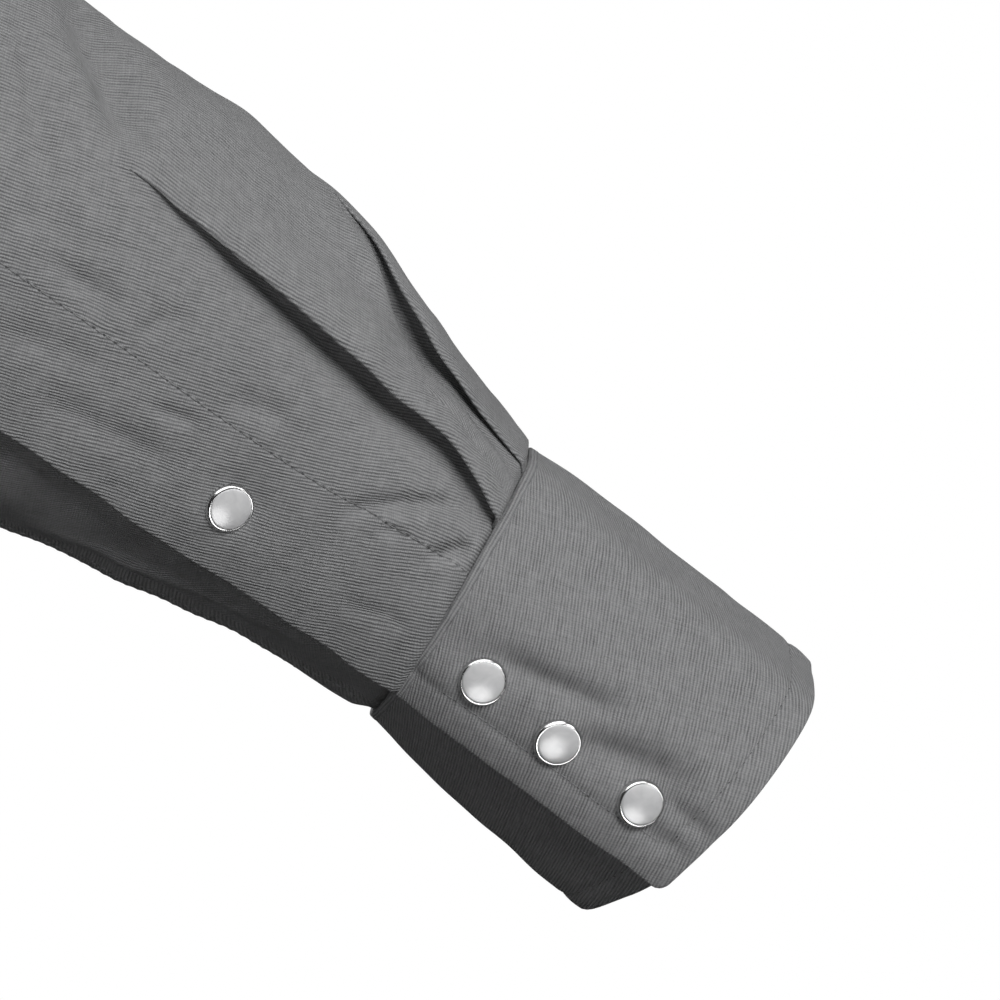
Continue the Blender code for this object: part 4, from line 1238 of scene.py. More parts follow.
def collar_stand(turn, rise):
    """A place on the stand: its left end laps over the right end a full turn on."""
    turn = np.asarray(turn, dtype=float)
    foot = torso(turn, np.ones_like(turn))
    outward = foot * np.array([1.0, 1.0, 0.0])
    outward = unit(outward - np.array(COLLAR_CENTRE))
    step = STAND_LAP_STEP * (1.0 - ease((turn - STAND_LAP_START) / STAND_LAP_SPAN))
    tall = STAND_TALL * (1.0 - STAND_TALLER_BACK * np.cos(np.radians(turn)))
    lean = STAND_LEAN * rise
    up = np.array([0.0, 0.0, 1.0])
    out_part = (step - lean)[..., None] * outward
    return foot + out_part + (STAND_FOOT_GAP + tall * rise)[..., None] * up


def collar_leaf(turn, across):
    """A place on the leaf: it rolls over the stand's top and falls to the shoulders."""
    turn = np.asarray(turn, dtype=float)
    across = np.asarray(across, dtype=float)
    top = collar_stand(turn, np.ones_like(turn))
    outward = unit(top * np.array([1.0, 1.0, 0.0]) - np.array(COLLAR_CENTRE))
    signed = wrapped(turn, BODY_WRAP)
    edge_height = read_table(LEAF_EDGE, LEAF_EDGE_COLUMNS, "edge_height", np.abs(signed))
    edge_turn = read_table(LEAF_EDGE, LEAF_EDGE_COLUMNS, "edge_turn", np.abs(signed))
    edge_turn = edge_turn * np.sign(signed)
    edge = moved_out(torso, edge_turn, edge_height, LEAF_CLEAR + CLOTH)
    up = np.array([0.0, 0.0, 1.0])
    roll_out = LEAF_ROLL_OUT * ease(across / LEAF_ROLL_SHARE)
    over_top = np.sin(np.pi * np.clip(across / LEAF_TOP_SHARE, 0.0, 1.0))
    roll_up = LEAF_ROLL_UP + LEAF_ROLL_TOP * over_top
    start = top + roll_out[..., None] * outward + roll_up[..., None] * up
    fall = np.clip((across - LEAF_FALL_START) / (1.0 - LEAF_FALL_START), 0.0, 1.0)
    bulge = LEAF_BULGE * np.sin(np.pi * fall)
    return start + (edge - start) * fall[..., None] + bulge[..., None] * outward


def make_stand(cloth):
    lap = float(lap_half_angle(1.0))
    along = edge_spaced(COLLAR_LONG, BAND_CLOTH, STAND_SPACING[0])[None, :]
    down = edge_spaced(STAND_TALL, BAND_CLOTH, STAND_SPACING[1])[:, None]
    turn = -lap + (360.0 + 2 * lap) * along / COLLAR_LONG
    points = collar_stand(*np.broadcast_arrays(turn, 1.0 - down / STAND_TALL))
    edge_way = nearest_edge(along, COLLAR_LONG, down, STAND_TALL)
    weave = grid_weave(down, -along)
    piece = rounded_piece("collar_stand_cloth", points, edge_way, BAND_CLOTH, weave, cloth)
    dress(piece, "grey_twill", "collar_stand")


def make_leaf(cloth):
    along = edge_spaced(COLLAR_LONG, BAND_CLOTH, STAND_SPACING[0])[None, :]
    down = edge_spaced(LEAF_DEEP, COLLAR_CLOTH, LEAF_SPACING)[:, None]
    turn = LEAF_END_ANGLE + (360.0 - 2 * LEAF_END_ANGLE) * along / COLLAR_LONG
    points = collar_leaf(*np.broadcast_arrays(turn, down / LEAF_DEEP))
    from_end = np.minimum(along, COLLAR_LONG - along)
    from_stitch = np.minimum(LEAF_DEEP - down, from_end) - LEAF_STITCH
    groove = LEAF_GROOVE * bell(from_stitch, LEAF_GROOVE_WIDE)
    points = points - groove[..., None] * grid_normals(points)
    edge_way = nearest_edge(along, COLLAR_LONG, down, LEAF_DEEP)
    weave = grid_weave(down, -along)
    piece = rounded_piece("collar_leaf_cloth", points, edge_way, COLLAR_CLOTH, weave, cloth)
    dress(piece, "grey_twill", "collar_leaf")


def lap_rise(turn, above):
    """The overlap side of the sleeve stands out with the cuff's outer end near the seam."""
    near = 1.0 - ease(above / SLEEVE_RISE_FADE)
    over = (1.0 - ease((turn - SLEEVE_RISE_START) / SLEEVE_RISE_SPAN)) * (turn < 180.0)
    return (CUFF_LAP_STEP - SLEEVE_TUCK) * near * over


def underarm_tuck(turn, reach):
    """The sleeve starts a little inside the armhole underneath, where it meets the body sharply."""
    below = np.clip(-np.sin(np.radians(turn)), 0.0, 1.0)
    return UNDERARM_CLEAR * below * (1.0 - ease(reach / UNDERARM_FADE))


def placket_side(turn, above):
    """The way across the placket from its free edge to a turn, at most its width."""
    free, sewn = placket_turns(above)
    share = (turn - free) / (sewn - free)
    return PLACKET_WIDE * np.clip(share, 0.0, 1.0)


def placket_out(side):
    """How far the placket's middle lies out: flush with the sleeve along its sewn edge."""
    rising = ease((PLACKET_WIDE - side) / PLACKET_FLUSH_FADE)
    return PLACKET_FLUSH + (BAND_STEP - PLACKET_FLUSH) * rising


def seam_gap(turn):
    """How far the cuff's middle lies outside the sleeve's plain end."""
    end = np.full_like(turn, SLEEVE_LENGTH)
    _, way = arm_line(end)
    back, outer = arm_frame(way)
    angle = np.radians(turn)[..., None]
    outward = np.cos(angle) * back + np.sin(angle) * outer
    return np.sum((cuff(turn, 0.0 * turn) - sleeve(turn, end)) * outward, axis=-1)


def settled(turn, above, out, height):
    """Eases an outward step near the seam, so that the cloth ends between the cuff's two layers."""
    beneath = placket_out(placket_side(turn, np.clip(above, 0.0, None))) - PLACKET_FLUSH
    depth = INSIDE_CUFF + beneath * (turn < 180.0) - PLEAT_PRESSED * height
    free = ease(above / INTO_CUFF_FADE)
    return out * free + (seam_gap(turn) - depth) * (1.0 - free)


def pleat_places(pleat, above, before_run, after_run, shares):
    """Turn, outward step and height across one pleat, for a column of ways above the cuff."""
    place_above = np.clip(above, 0.0, None)
    angle, under, rise = (
        read_table(pleat, PLEAT_COLUMNS, wanted, place_above)
        for wanted in ("angle", "under", "rise")
    )
    before, after, beneath, height = (
        read_table(PLEAT_SECTION, PLEAT_SECTION_COLUMNS, wanted, shares)[None, :]
        for wanted in ("before", "after", "under", "height")
    )
    seam_under = pleat[0][PLEAT_COLUMNS.index("under")]
    folded = np.clip(under / seam_under, 0.0, 1.0)
    laid = before * before_run + after * after_run + beneath * seam_under
    short_of = np.clip(1.0 - shares / PLEAT_CREST, 0.0, 1.0)[None, :]
    beyond = np.clip((shares - PLEAT_CREST) / (1.0 - PLEAT_CREST), 0.0, 1.0)[None, :]
    flat = (seam_under + after_run) * beyond - before_run * short_of
    way = laid * folded + flat * (1.0 - folded)
    turn = angle + np.degrees(way / arm_size("across", SLEEVE_LENGTH - above))
    height = height + 0.0 * angle
    return turn, height * rise, height


def sleeve_rows():
    """The reach of each row of the sleeve, closer together where pleats and creases are."""
    end = SLEEVE_LENGTH - SLEEVE_END
    upper = np.arange(SLEEVE_START, SLEEVE_FINE_FROM, SLEEVE_SPACING)
    lower = np.arange(SLEEVE_FINE_FROM, end, SLEEVE_FINE_SPACING)
    last = np.linspace(end, SLEEVE_LENGTH + INTO_CUFF, SLEEVE_END_ROWS)
    return np.concatenate([upper, lower, last])[:, None]


def pleat_shares():
    """Shares of a pleat's cloth, close together where it folds."""
    base, fold, top = PLEAT_SHARE_COUNTS
    return np.concatenate([
        np.linspace(0.0, PLEAT_BASE, base)[:-1],
        np.linspace(PLEAT_BASE, PLEAT_FOLDED, fold)[:-1],
        np.linspace(PLEAT_FOLDED, 1.0, top),
    ])


def between(start, end, count):
    """Turns spread evenly between two columns of turns, without those two."""
    return start + (end - start) * np.linspace(0.0, 1.0, count + 2)[None, 1:-1]


def sleeve_grid():
    """Turn, reach and outward step of the sleeve, its closed rows and its seam's columns."""
    reach = sleeve_rows()
    above = SLEEVE_LENGTH - reach
    place_above = np.clip(above, 0.0, None)
    size = arm_size("across", reach)
    shares = pleat_shares()
    angles = [read_table(pleat, PLEAT_COLUMNS, "angle", place_above) for pleat in PLEATS]
    seam_under = PLEATS[0][0][PLEAT_COLUMNS.index("under")]
    room = (size * np.radians(angles[1] - angles[0]) - seam_under) * PLEAT_ROOM
    after_first = np.minimum(PLEAT_AFTER, room)
    before_second = np.minimum(PLEAT_BEFORE, room)
    first = pleat_places(PLEATS[0], above, PLEAT_BEFORE, after_first, shares)
    second = pleat_places(PLEATS[1], above, before_second, PLEAT_AFTER, shares)
    free, sewn = placket_turns(place_above)
    opened = SLIT_HALF_GAP * (above < SLIT_TOP)
    slit = free + SLIT_BEHIND + opened
    end = free + SLIT_BEHIND + 360.0 - opened
    sewn_near = sewn + SEWN_NEAR * np.linspace(-1.0, 1.0, SEWN_COLUMNS)[None, :]
    fell_low = fell_turn(reach) + 360.0 - FELL_TURNS
    fell_high = fell_turn(reach) + 360.0 + FELL_TURNS
    blocks = (
        ("slit", slit),
        ("under_placket", between(slit, sewn_near[:, :1], SLIT_COLUMNS)),
        ("sewn", sewn_near),
        ("before", between(sewn_near[:, -1:], first[0][:, :1], BEFORE_PLEAT_COLUMNS)),
        ("first", first[0]),
        ("middle", between(first[0][:, -1:], second[0][:, :1], BETWEEN_PLEATS_COLUMNS)),
        ("second", second[0]),
        ("round", between(second[0][:, -1:], fell_low, ROUND_COLUMNS)),
        ("fell_low", fell_low),
        ("fell", between(fell_low, fell_high, FELL_COLUMNS)),
        ("fell_high", fell_high),
        ("under", between(fell_high, end, UNDER_COLUMNS)),
        ("end", end),
    )
    turn = np.hstack([part for _, part in blocks])
    start = {}
    next_column = 0
    for name, part in blocks:
        start[name] = next_column
        next_column += part.shape[1]
    rise = np.zeros_like(turn)
    height = np.zeros_like(turn)
    for name, (_, pleat_rise, pleat_height) in (("first", first), ("second", second)):
        columns = slice(start[name], start[name] + len(shares))
        rise[:, columns] = pleat_rise
        height[:, columns] = pleat_height
    column = np.arange(turn.shape[1])
    base_columns = int(np.sum(shares < PLEAT_BASE))
    hollowed = (("slit", "first"), ("middle", "second"))
    for (low, fold), angle, rows in zip(hollowed, angles, PLEAT_HOLLOWS):
        hollow = read_table(rows, PLEAT_HOLLOW_COLUMNS, "depth", place_above)
        away = np.radians(turn - angle) * size + PLEAT_HOLLOW_AWAY
        beneath = (column >= start[low]) & (column < start[fold] + base_columns)
        rise = rise - hollow * bell(away, PLEAT_HOLLOW_WIDE) * beneath[None, :]
    covered = (turn < 180.0) * (place_above < PLACKET_TOP - PLACKET_TUCK_TOP)
    tuck = PLACKET_TUCK * ease((sewn - turn) / PLACKET_TUCK_SPAN) * covered
    out = rise + lap_rise(turn, place_above) - underarm_tuck(turn, reach) - tuck
    out = settled(turn, above, out, height)
    closed_rows = int(np.sum(above >= SLIT_TOP))
    fell_columns = slice(start["fell_low"], start["fell_high"])
    return turn, reach + 0.0 * turn, out, closed_rows, fell_columns


def make_sleeves(cloth):
    turn, reach, out, closed_rows, fell_columns = sleeve_grid()
    points = sleeve(turn, reach, out)
    arcs = row_arcs(points, int(np.argmin(np.abs(turn[STRAIGHT_ROW] - STRAIGHT_TURN))))
    for side, mirrored in SIDES:
        weave = grid_weave(arcs if mirrored else -arcs, reach)
        name = "sleeve_%s_cloth" % side
        piece = sheet_piece(name, points, weave, cloth, mirrored, closed_rows, fell_columns)
        dress(piece, "grey_twill", "sleeve_" + side)


def placket_surface(turn, reach):
    """The sleeve under the placket, standing out towards the free edge, which hangs straight."""
    above = SLEEVE_LENGTH - reach
    share = (PLACKET_LIP_START - turn) / (PLACKET_LIP_START - placket_edge("free_angle", above))
    lip = placket_edge("lip", above) * np.clip(share, 0.0, 1.0) ** 2
    around = (turn - PLACKET_SNAP_ANGLE) * METRES_PER_DEGREE_ARM
    dent = snap_pull(around, PLACKET_SNAP_ABOVE - above, PLACKET_SNAP_LEAN)
    out = lap_rise(turn, np.clip(above, 0.0, None)) + lip - dent
    return sleeve(turn, reach, settled(turn, above, out, 0.0))


def placket_grid():
    length = PLACKET_TOP + INTO_CUFF
    down = edge_spaced(length, PLACKET_CLOTH, PLACKET_SPACING[0])[:, None]
    side = edge_spaced(PLACKET_WIDE, PLACKET_CLOTH, PLACKET_SPACING[1])
    fine = PLACKET_WIDE - np.arange(*PLACKET_SEWN_FINE)
    side = np.unique(np.concatenate([side, fine]))[None, :]
    above = PLACKET_TOP - down
    free, sewn = placket_turns(np.clip(above, 0.0, None))
    turn = free + (sewn - free) * side / PLACKET_WIDE
    groove = bell(PLACKET_WIDE - side - PLACKET_STITCH, PLACKET_GROOVE_WIDE)
    out = placket_out(side) - PLACKET_GROOVE * groove + 0.0 * turn
    points = moved_out(placket_surface, turn, SLEEVE_LENGTH - above + 0.0 * turn, out)
    return points, nearest_edge(side, PLACKET_WIDE, down, length), side, down


def make_plackets(cloth):
    points, edge_way, across, down = placket_grid()
    for side, mirrored in SIDES:
        weave = grid_weave(across if mirrored else -across, down)
        name = "sleeve_placket_%s_cloth" % side
        piece = rounded_piece(name, points, edge_way, PLACKET_CLOTH, weave, cloth, mirrored)
        dress(piece, "grey_twill", "sleeve_placket_" + side)


def cuff_length():
    """The cuff's length at half its depth, from one end to the other."""
    lap = float(cuff_lap(CUFF_DEEP / 2))
    return np.radians(CUFF_UNDERLAP_END - lap) * CUFF_ROUND


def cuff_turn(way, down):
    """The turn at a way along the cuff from its overlap edge, at a depth."""
    return cuff_lap(down) + np.degrees(way / CUFF_ROUND)


def rounded_corner(first, second, radius):
    """Moves places near the corner of two edges onto a quarter disc."""
    a = 1.0 - first / radius
    b = 1.0 - second / radius
    inside = (a > 0.0) & (b > 0.0)
    a_in = np.where(inside, a, 0.0)
    b_in = np.where(inside, b, 0.0)
    a_new = a_in * np.sqrt(1.0 - b_in**2 / 2.0)
    b_new = b_in * np.sqrt(1.0 - a_in**2 / 2.0)
    new_first = np.where(inside, radius * (1.0 - a_new), first)
    new_second = np.where(inside, radius * (1.0 - b_new), second)
    edge = np.where(inside, radius * (1.0 - np.hypot(a_new, b_new)), np.minimum(first, second))
    return new_first, new_second, edge


def cuff_sewing(way, down):
    """Grooves along the topstitch and the edge stitch, and the padded strip outside them."""
    from_edge = np.minimum(way * CUFF_STITCH_HEM / CUFF_STITCH_LAP, CUFF_DEEP - down)
    groove = CUFF_GROOVE * bell(from_edge - CUFF_STITCH_HEM, CUFF_GROOVE_WIDE)
    strip = CUFF_STRIP * np.sin(np.pi * np.clip(from_edge / CUFF_STITCH_HEM, 0.0, 1.0))
    below_edge = (down - CUFF_EDGE_WIDE + CUFF_EDGE_SOFT / 2) / CUFF_EDGE_SOFT
    return strip + CUFF_EDGE_HIGH * (1.0 - ease(below_edge)) - groove


def make_cuffs(cloth):
    length = cuff_length()
    half, near = edge_ways(CUFF_CLOTH)
    close = np.arange(half, CUFF_SPACING_TO, CUFF_SPACING)
    wide = np.linspace(CUFF_SPACING_TO, length - half, CUFF_WIDE_COLUMNS)
    way = np.concatenate([near, close, wide, length - near[::-1]])[None, :]
    down = edge_spaced(CUFF_DEEP, CUFF_CLOTH, CUFF_SPACING)
    down = np.unique(np.concatenate([down, np.arange(*CUFF_SEAM_FINE)]))[:, None]
    way, down = np.broadcast_arrays(way, down)
    new_way, from_hem, edge_way = rounded_corner(way, CUFF_DEEP - down, CUFF_CORNER)
    edge_way = np.minimum(edge_way, np.minimum(down, length - way))
    new_down = CUFF_DEEP - from_hem
    sewing = cuff_sewing(new_way, new_down)
    points = cuff(cuff_turn(new_way, new_down), new_down, sewing)
    strip = new_down[1:, 1:] < CUFF_EDGE_WIDE
    for side, mirrored in SIDES:
        weave = grid_weave(new_down, -new_way if mirrored else new_way)
        name = "cuff_%s_cloth" % side
        piece = rounded_piece(name, points, edge_way, CUFF_CLOTH, weave, cloth, mirrored, strip)
        dress(piece, "grey_twill", "cuff_" + side)


# Sewing


def along_line(places, normals, pitch):
    """Starts, ends and normals of stitches at an even pitch along a line of places."""
    steps = np.linalg.norm(np.diff(places, axis=0), axis=-1)
    way = np.concatenate([[0.0], np.cumsum(steps)])
    count = int(way[-1] // pitch)
    start_way = (np.arange(count) + 0.1) * pitch
    stitch_long = pitch * STITCH_SHARE

    def at(values, wanted):
        return np.stack([np.interp(wanted, way, values[:, axis]) for axis in range(3)], axis=-1)

    middle_way = start_way + stitch_long / 2
    return at(places, start_way), at(places, start_way + stitch_long), unit(at(normals, middle_way))


def spindle_faces(rings, sides):
    """The triangles of a closed turned form: a point, rings of corners and another point."""
    faces = []
    last = 1 + rings * sides
    for corner in range(sides):
        after = (corner + 1) % sides
        faces.append((0, 1 + after, 1 + corner))
        for low in range(1, last - sides, sides):
            high = low + sides
            faces.append((low + corner, low + after, high + after))
            faces.append((low + corner, high + after, high + corner))
        faces.append((last - sides + corner, last - sides + after, last))
    return np.array(faces)


STITCH_RINGS = (
    # share of the length, size over the radius, height over the thickness
    (0.12, 0.75, -0.05),
    (0.50, 1.00, 0.22),
    (0.88, 0.75, -0.05),
)


def stitch_frames(lines):
    """Starts and ends of all stitches of some lines, and the ways along, aside and up."""
    starts, ends, normals = (np.concatenate(part) for part in zip(*lines))
    along = unit(ends - starts)
    side = unit(np.cross(along, normals))
    return starts, ends, along, side, np.cross(side, along)


def oval(middle, first, second, count):
    """Corners round a middle, from the oval's two half axes."""
    angles = 2 * np.pi * np.arange(count) / count
    return [middle + np.cos(angle) * first + np.sin(angle) * second for angle in angles]


def repeated_mesh(name, corners, faces, material, mirrored):
    """Copies of one small form as one mesh: each corner is a list with a place for each copy."""
    points = np.stack(corners, axis=1)
    offsets = (np.arange(len(points)) * points.shape[1])[:, None, None]
    faces = (faces[None, :, :] + offsets).reshape(-1, 3)
    points = points.reshape(-1, 3)
    if mirrored:
        points = mirrored_points(points)
        faces = faces[:, ::-1]
    dress(add_mesh(name, points, faces, None, material), "grey_twill")


def stitch_mesh(name, lines, material, mirrored=False):
    """All stitches of some lines: short threads that dip at both ends."""
    starts, ends, _, side, up = stitch_frames(lines)
    radius = STITCH_THICK / 2
    corners = [starts - up * radius]
    for share, size, height in STITCH_RINGS:
        middle = starts + (ends - starts) * share + up * STITCH_THICK * height
        corners += oval(middle, radius * size * side, radius * size * up, STITCH_SIDES)
    corners.append(ends - up * radius)
    faces = spindle_faces(len(STITCH_RINGS), STITCH_SIDES)[:, ::-1]
    repeated_mesh(name, corners, faces, material, mirrored)


def hole_shade_mesh(name, lines, material, mirrored=False):
    """Painted shade where the needle went through, between the stitches of some lines: small dark
    ovals on the cloth.
    """
    starts, _, along, side, up = stitch_frames(lines)
    middle = starts - along * HOLE_LONG - up * (STITCH_THICK * HOLE_SUNK - HOLE_LIFT)
    corners = [middle] + oval(middle, HOLE_LONG * along, HOLE_WIDE * side, HOLE_SIDES)
    fan = [(0, 1 + (corner + 1) % HOLE_SIDES, 1 + corner) for corner in range(HOLE_SIDES)]
    repeated_mesh(name, corners, np.array(fan), material, mirrored)


def thread_out(cloth, raised):
    """How far out from the middle of its cloth a stitch lies."""
    return cloth / 2 + STITCH_THICK * raised


def surface_line(surface, first, second, out):
    """Stitches along a line on a surface, on top of its cloth."""
    first, second = (part + 0.0 for part in np.broadcast_arrays(first, second))
    places = moved_out(surface, first, second, out)
    return along_line(places, normal_at(surface, first, second), STITCH_PITCH)


def sewn_cuff_surface(turn, down):
    way = np.radians(turn - cuff_lap(down)) * CUFF_ROUND
    return cuff(turn, down, cuff_sewing(way, down))


def cuff_lines():
    top = thread_out(CUFF_CLOTH, CUFF_RAISED)
    down = np.linspace(CUFF_LINE_START, CUFF_DEEP - CUFF_STITCH_HEM, CUFF_LAP_POINTS)
    lap_line = (cuff_turn(CUFF_STITCH_LAP, down), down)
    start, end = HEM_LINE_SHORT
    way = np.linspace(CUFF_STITCH_LAP + start, cuff_length() - end, CUFF_HEM_POINTS)
    hem_down = np.full_like(way, CUFF_DEEP - CUFF_STITCH_HEM)
    hem_line = (cuff_turn(way, hem_down), hem_down)
    return [surface_line(sewn_cuff_surface, *line, top) for line in (lap_line, hem_line)]


def placket_top_surface(turn, reach):
    side = placket_side(turn, SLEEVE_LENGTH - reach)
    return moved_out(placket_surface, turn, reach, placket_out(side))


def placket_lines():
    top = thread_out(PLACKET_CLOTH, PLACKET_RAISED)
    start, end = PLACKET_LINE_SHORT
    above = np.linspace(PLACKET_TOP - start, end, PLACKET_POINTS)
    free, sewn = placket_turns(above)
    turn = sewn - (sewn - free) * PLACKET_STITCH / PLACKET_WIDE
    lines = [surface_line(placket_top_surface, turn, SLEEVE_LENGTH - above, top)]
    for from_top in (EDGE_STITCH, PLACKET_CROSS_STITCH):
        above = PLACKET_TOP - from_top
        free, sewn = placket_turns(above)
        across = np.linspace(*PLACKET_CROSS_SHARES, PLACKET_CROSS_POINTS)
        turn = free + (sewn - free) * across
        lines.append(surface_line(placket_top_surface, turn, SLEEVE_LENGTH - above, top))
    return lines


def sewn_sleeve(turn, reach):
    above = SLEEVE_LENGTH - reach
    out = lap_rise(turn, above) - underarm_tuck(turn, reach)
    return sleeve(turn, reach, settled(turn, above, out, 0.0))


def sleeve_lines():
    top = thread_out(SHELL, SHEET_RAISED)
    end = SLEEVE_LENGTH - INTO_CUFF_FADE
    reach = np.linspace(SLEEVE_LINE_START, end, SLEEVE_POINTS)
    aside = np.degrees((FELL_WIDE / 2 - EDGE_STITCH) / FELL_ARM)
    middle = fell_turn(reach) + 360.0
    return [surface_line(sewn_sleeve, middle + way * aside, reach, top) for way in (-1.0, 1.0)]


def armhole_lines():
    """Topstitching on the body round the armhole."""
    radians = np.radians(np.linspace(*ARMHOLE_LINE_TURNS, ARMHOLE_POINTS))
    lines = []
    for away in ARMHOLE_STITCHES:
        half = ARMHOLE_HALF + away / METRES_PER_HEIGHT
        spread = ARMHOLE_SPREAD + away / METRES_PER_DEGREE_ARMHOLE
        turn = 90.0 + spread * np.cos(radians)
        height = ARMHOLE_MIDDLE + half * np.sin(radians)
        lines.append(surface_line(torso, turn, height, thread_out(SHELL, SHEET_RAISED)))
    return lines


def body_lines():
    """Topstitching beside the side and shoulder seams and along the hem."""
    low, high = ARMHOLE_MIDDLE - ARMHOLE_HALF, ARMHOLE_MIDDLE + ARMHOLE_HALF
    side_seam = np.linspace(SIDE_LINE_SHORT, low - SIDE_LINE_SHORT, SIDE_POINTS)
    start, end = SHOULDER_LINE_SHORT
    shoulder_seam = np.linspace(high + start, 1.0 - end, SHOULDER_POINTS)
    places = []
    for side in (-1.0, 1.0):
        for away in SIDE_STITCHES:
            places.append((side * (90.0 + away), side_seam))
            places.append((side * (90.0 + away * SHOULDER_SPREAD), shoulder_seam))
    for height in HEM_STITCHES:
        places.append((np.linspace(*HEM_LINE_TURNS, HEM_POINTS), height))
    return [surface_line(torso, *place, thread_out(SHELL, SHEET_RAISED)) for place in places]


def front_lines():
    top = BAND_STEP + thread_out(BAND_CLOTH, BAND_RAISED)
    low, high = BAND_FOOT + BAND_LINE_SHORT, BAND_TOP - BAND_LINE_SHORT
    height = np.linspace(low, high, BAND_POINTS)
    aside = (1.0 - BAND_STITCH / (BAND_WIDTH / 2)) * lap_half_angle(height)
    return [surface_line(torso, way * aside, height, top) for way in (-1.0, 1.0)]


def collar_lines():
    top = thread_out(COLLAR_CLOTH, BAND_RAISED)
    low = LEAF_END_ANGLE + LEAF_STITCH_END
    high = 360.0 - low
    across = 1.0 - LEAF_STITCH / LEAF_DEEP
    share = np.linspace(LEAF_STITCH_START, across, LEAF_END_POINTS)
    edge = np.linspace(low, high, LEAF_EDGE_POINTS)
    places = ((edge, across), (low, share), (high, share))
    return [surface_line(collar_leaf, *place, top) for place in places]


def make_sewing(thread, hole_shade):
    paired = (
        ("cuff", cuff_lines()),
        ("placket", placket_lines()),
        ("sleeve", sleeve_lines()),
        ("armhole", armhole_lines()),
    )
    single = (("body", body_lines()), ("front", front_lines()), ("collar", collar_lines()))
    for side, mirrored in SIDES:
        for name, lines in paired:
            stitch_mesh("%s_%s_stitches" % (name, side), lines, thread, mirrored)
            hole_shade_mesh("%s_%s_holes" % (name, side), lines, hole_shade, mirrored)
    for name, lines in single:
        stitch_mesh(name + "_stitches", lines, thread)
        hole_shade_mesh(name + "_holes", lines, hole_shade)


# Snaps

SNAP_TURNS = 72
MILLIMETRE = 0.001
RIM_PROFILE = (
    # out from the axis and up from the seat, in millimetres
    (0.00, -1.00),
    (5.80, -1.00),
    (5.95, -0.60),
    (5.98, 0.20),
    (5.94, 0.60),
    (5.82, 0.98),
    (5.64, 1.28),
    (5.44, 1.50),
    (5.26, 1.60),
    (5.14, 1.56),
    (5.08, 1.38),
    (5.06, 0.90),
    (0.00, 0.90),
)
DOME_PROFILE = (
    (0.00, 0.95),
    (5.09, 0.95),
    (5.10, 1.14),
    (5.06, 1.36),
    (4.96, 1.52),
    (4.80, 1.62),
    (4.50, 1.74),
    (4.00, 1.91),
    (3.40, 2.08),
    (2.70, 2.23),
    (1.95, 2.34),
    (1.20, 2.42),
    (0.60, 2.46),
    (0.00, 2.47),
)


def lathe(name, profile, seat, normal, material):
    """A closed piece turned round a snap's axis."""
    normal = unit(np.asarray(normal))
    side = unit(np.cross(normal, (0.0, 0.0, 1.0)))
    angle = np.linspace(0.0, 2 * np.pi, SNAP_TURNS, endpoint=False)[:, None]
    spoke = np.cos(angle) * side + np.sin(angle) * np.cross(normal, side)
    rings = [seat + MILLIMETRE * (out * spoke + up * normal) for out, up in profile]
    points = np.vstack([rings[0][:1], *rings[1:-1], rings[-1][:1]])
    return add_mesh(name, points, spindle_faces(len(rings) - 2, SNAP_TURNS), None, material)


def add_snap(node, seat, normal, chrome, pearl):
    rim = lathe(node + "_rim", RIM_PROFILE, seat, normal, chrome)
    dress(rim, "snap_silver", node)
    dome = lathe(node + "_pearl", DOME_PROFILE, seat, normal, pearl)
    dress(dome, "snap_pearl")


def seat_and_normal(surface, first, second, out):
    """A seat for a snap on a surface, and the way out of it."""
    first = np.array([first])
    second = np.array([second])
    return moved_out(surface, first, second, out)[0], normal_at(surface, first, second)[0]


def make_snaps(chrome, pearl):
    band_top = BAND_STEP + BAND_CLOTH / 2
    heights = np.linspace(FIRST_SNAP_HEIGHT, LAST_SNAP_HEIGHT, FRONT_SNAP_COUNT)
    for number, height in enumerate(heights, start=1):
        seat, normal = seat_and_normal(torso, 0.0, height, band_top)
        add_snap("snap_front_%d" % number, seat, normal, chrome, pearl)
    seat = collar_stand(np.array([0.0]), np.array([0.5]))[0] - np.array([0.0, BAND_CLOTH / 2, 0.0])
    normal = np.array([0.0, -1.0, STAND_SNAP_TILT])
    add_snap("snap_collar", seat, normal, chrome, pearl)
    for side, way in (("left", 1.0), ("right", -1.0)):
        flip = np.array([way, 1.0, 1.0])
        for number, (from_lap, down, *_) in enumerate(CUFF_SNAPS, start=1):
            turn = float(cuff_lap(down)) + from_lap
            seat, normal = seat_and_normal(cuff, turn, down, CUFF_CLOTH / 2)
            add_snap("snap_cuff_%s_%d" % (side, number), seat * flip, normal * flip, chrome, pearl)
        reach = SLEEVE_LENGTH - PLACKET_SNAP_ABOVE
        side_way = placket_side(PLACKET_SNAP_ANGLE, PLACKET_SNAP_ABOVE)
        out = float(placket_out(side_way)) + PLACKET_CLOTH / 2
        seat, normal = seat_and_normal(placket_surface, PLACKET_SNAP_ANGLE, reach, out)
        add_snap("snap_placket_" + side, seat * flip, normal * flip, chrome, pearl)


# Camera, lights and floor


def make_camera():
    data = bpy.data.cameras.new("photo_camera")
    data.sensor_width = SENSOR
    data.lens = SENSOR * CAMERA_DISTANCE / FIELD
    camera = bpy.data.objects.new("photo_camera", data)
    camera.location = CAMERA_TARGET + Vector((0.0, CAMERA_DISTANCE, 0.0))
    camera.rotation_euler = (np.pi / 2, 0.0, np.pi)
    bpy.context.scene.collection.objects.link(camera)
    bpy.context.scene.camera = camera


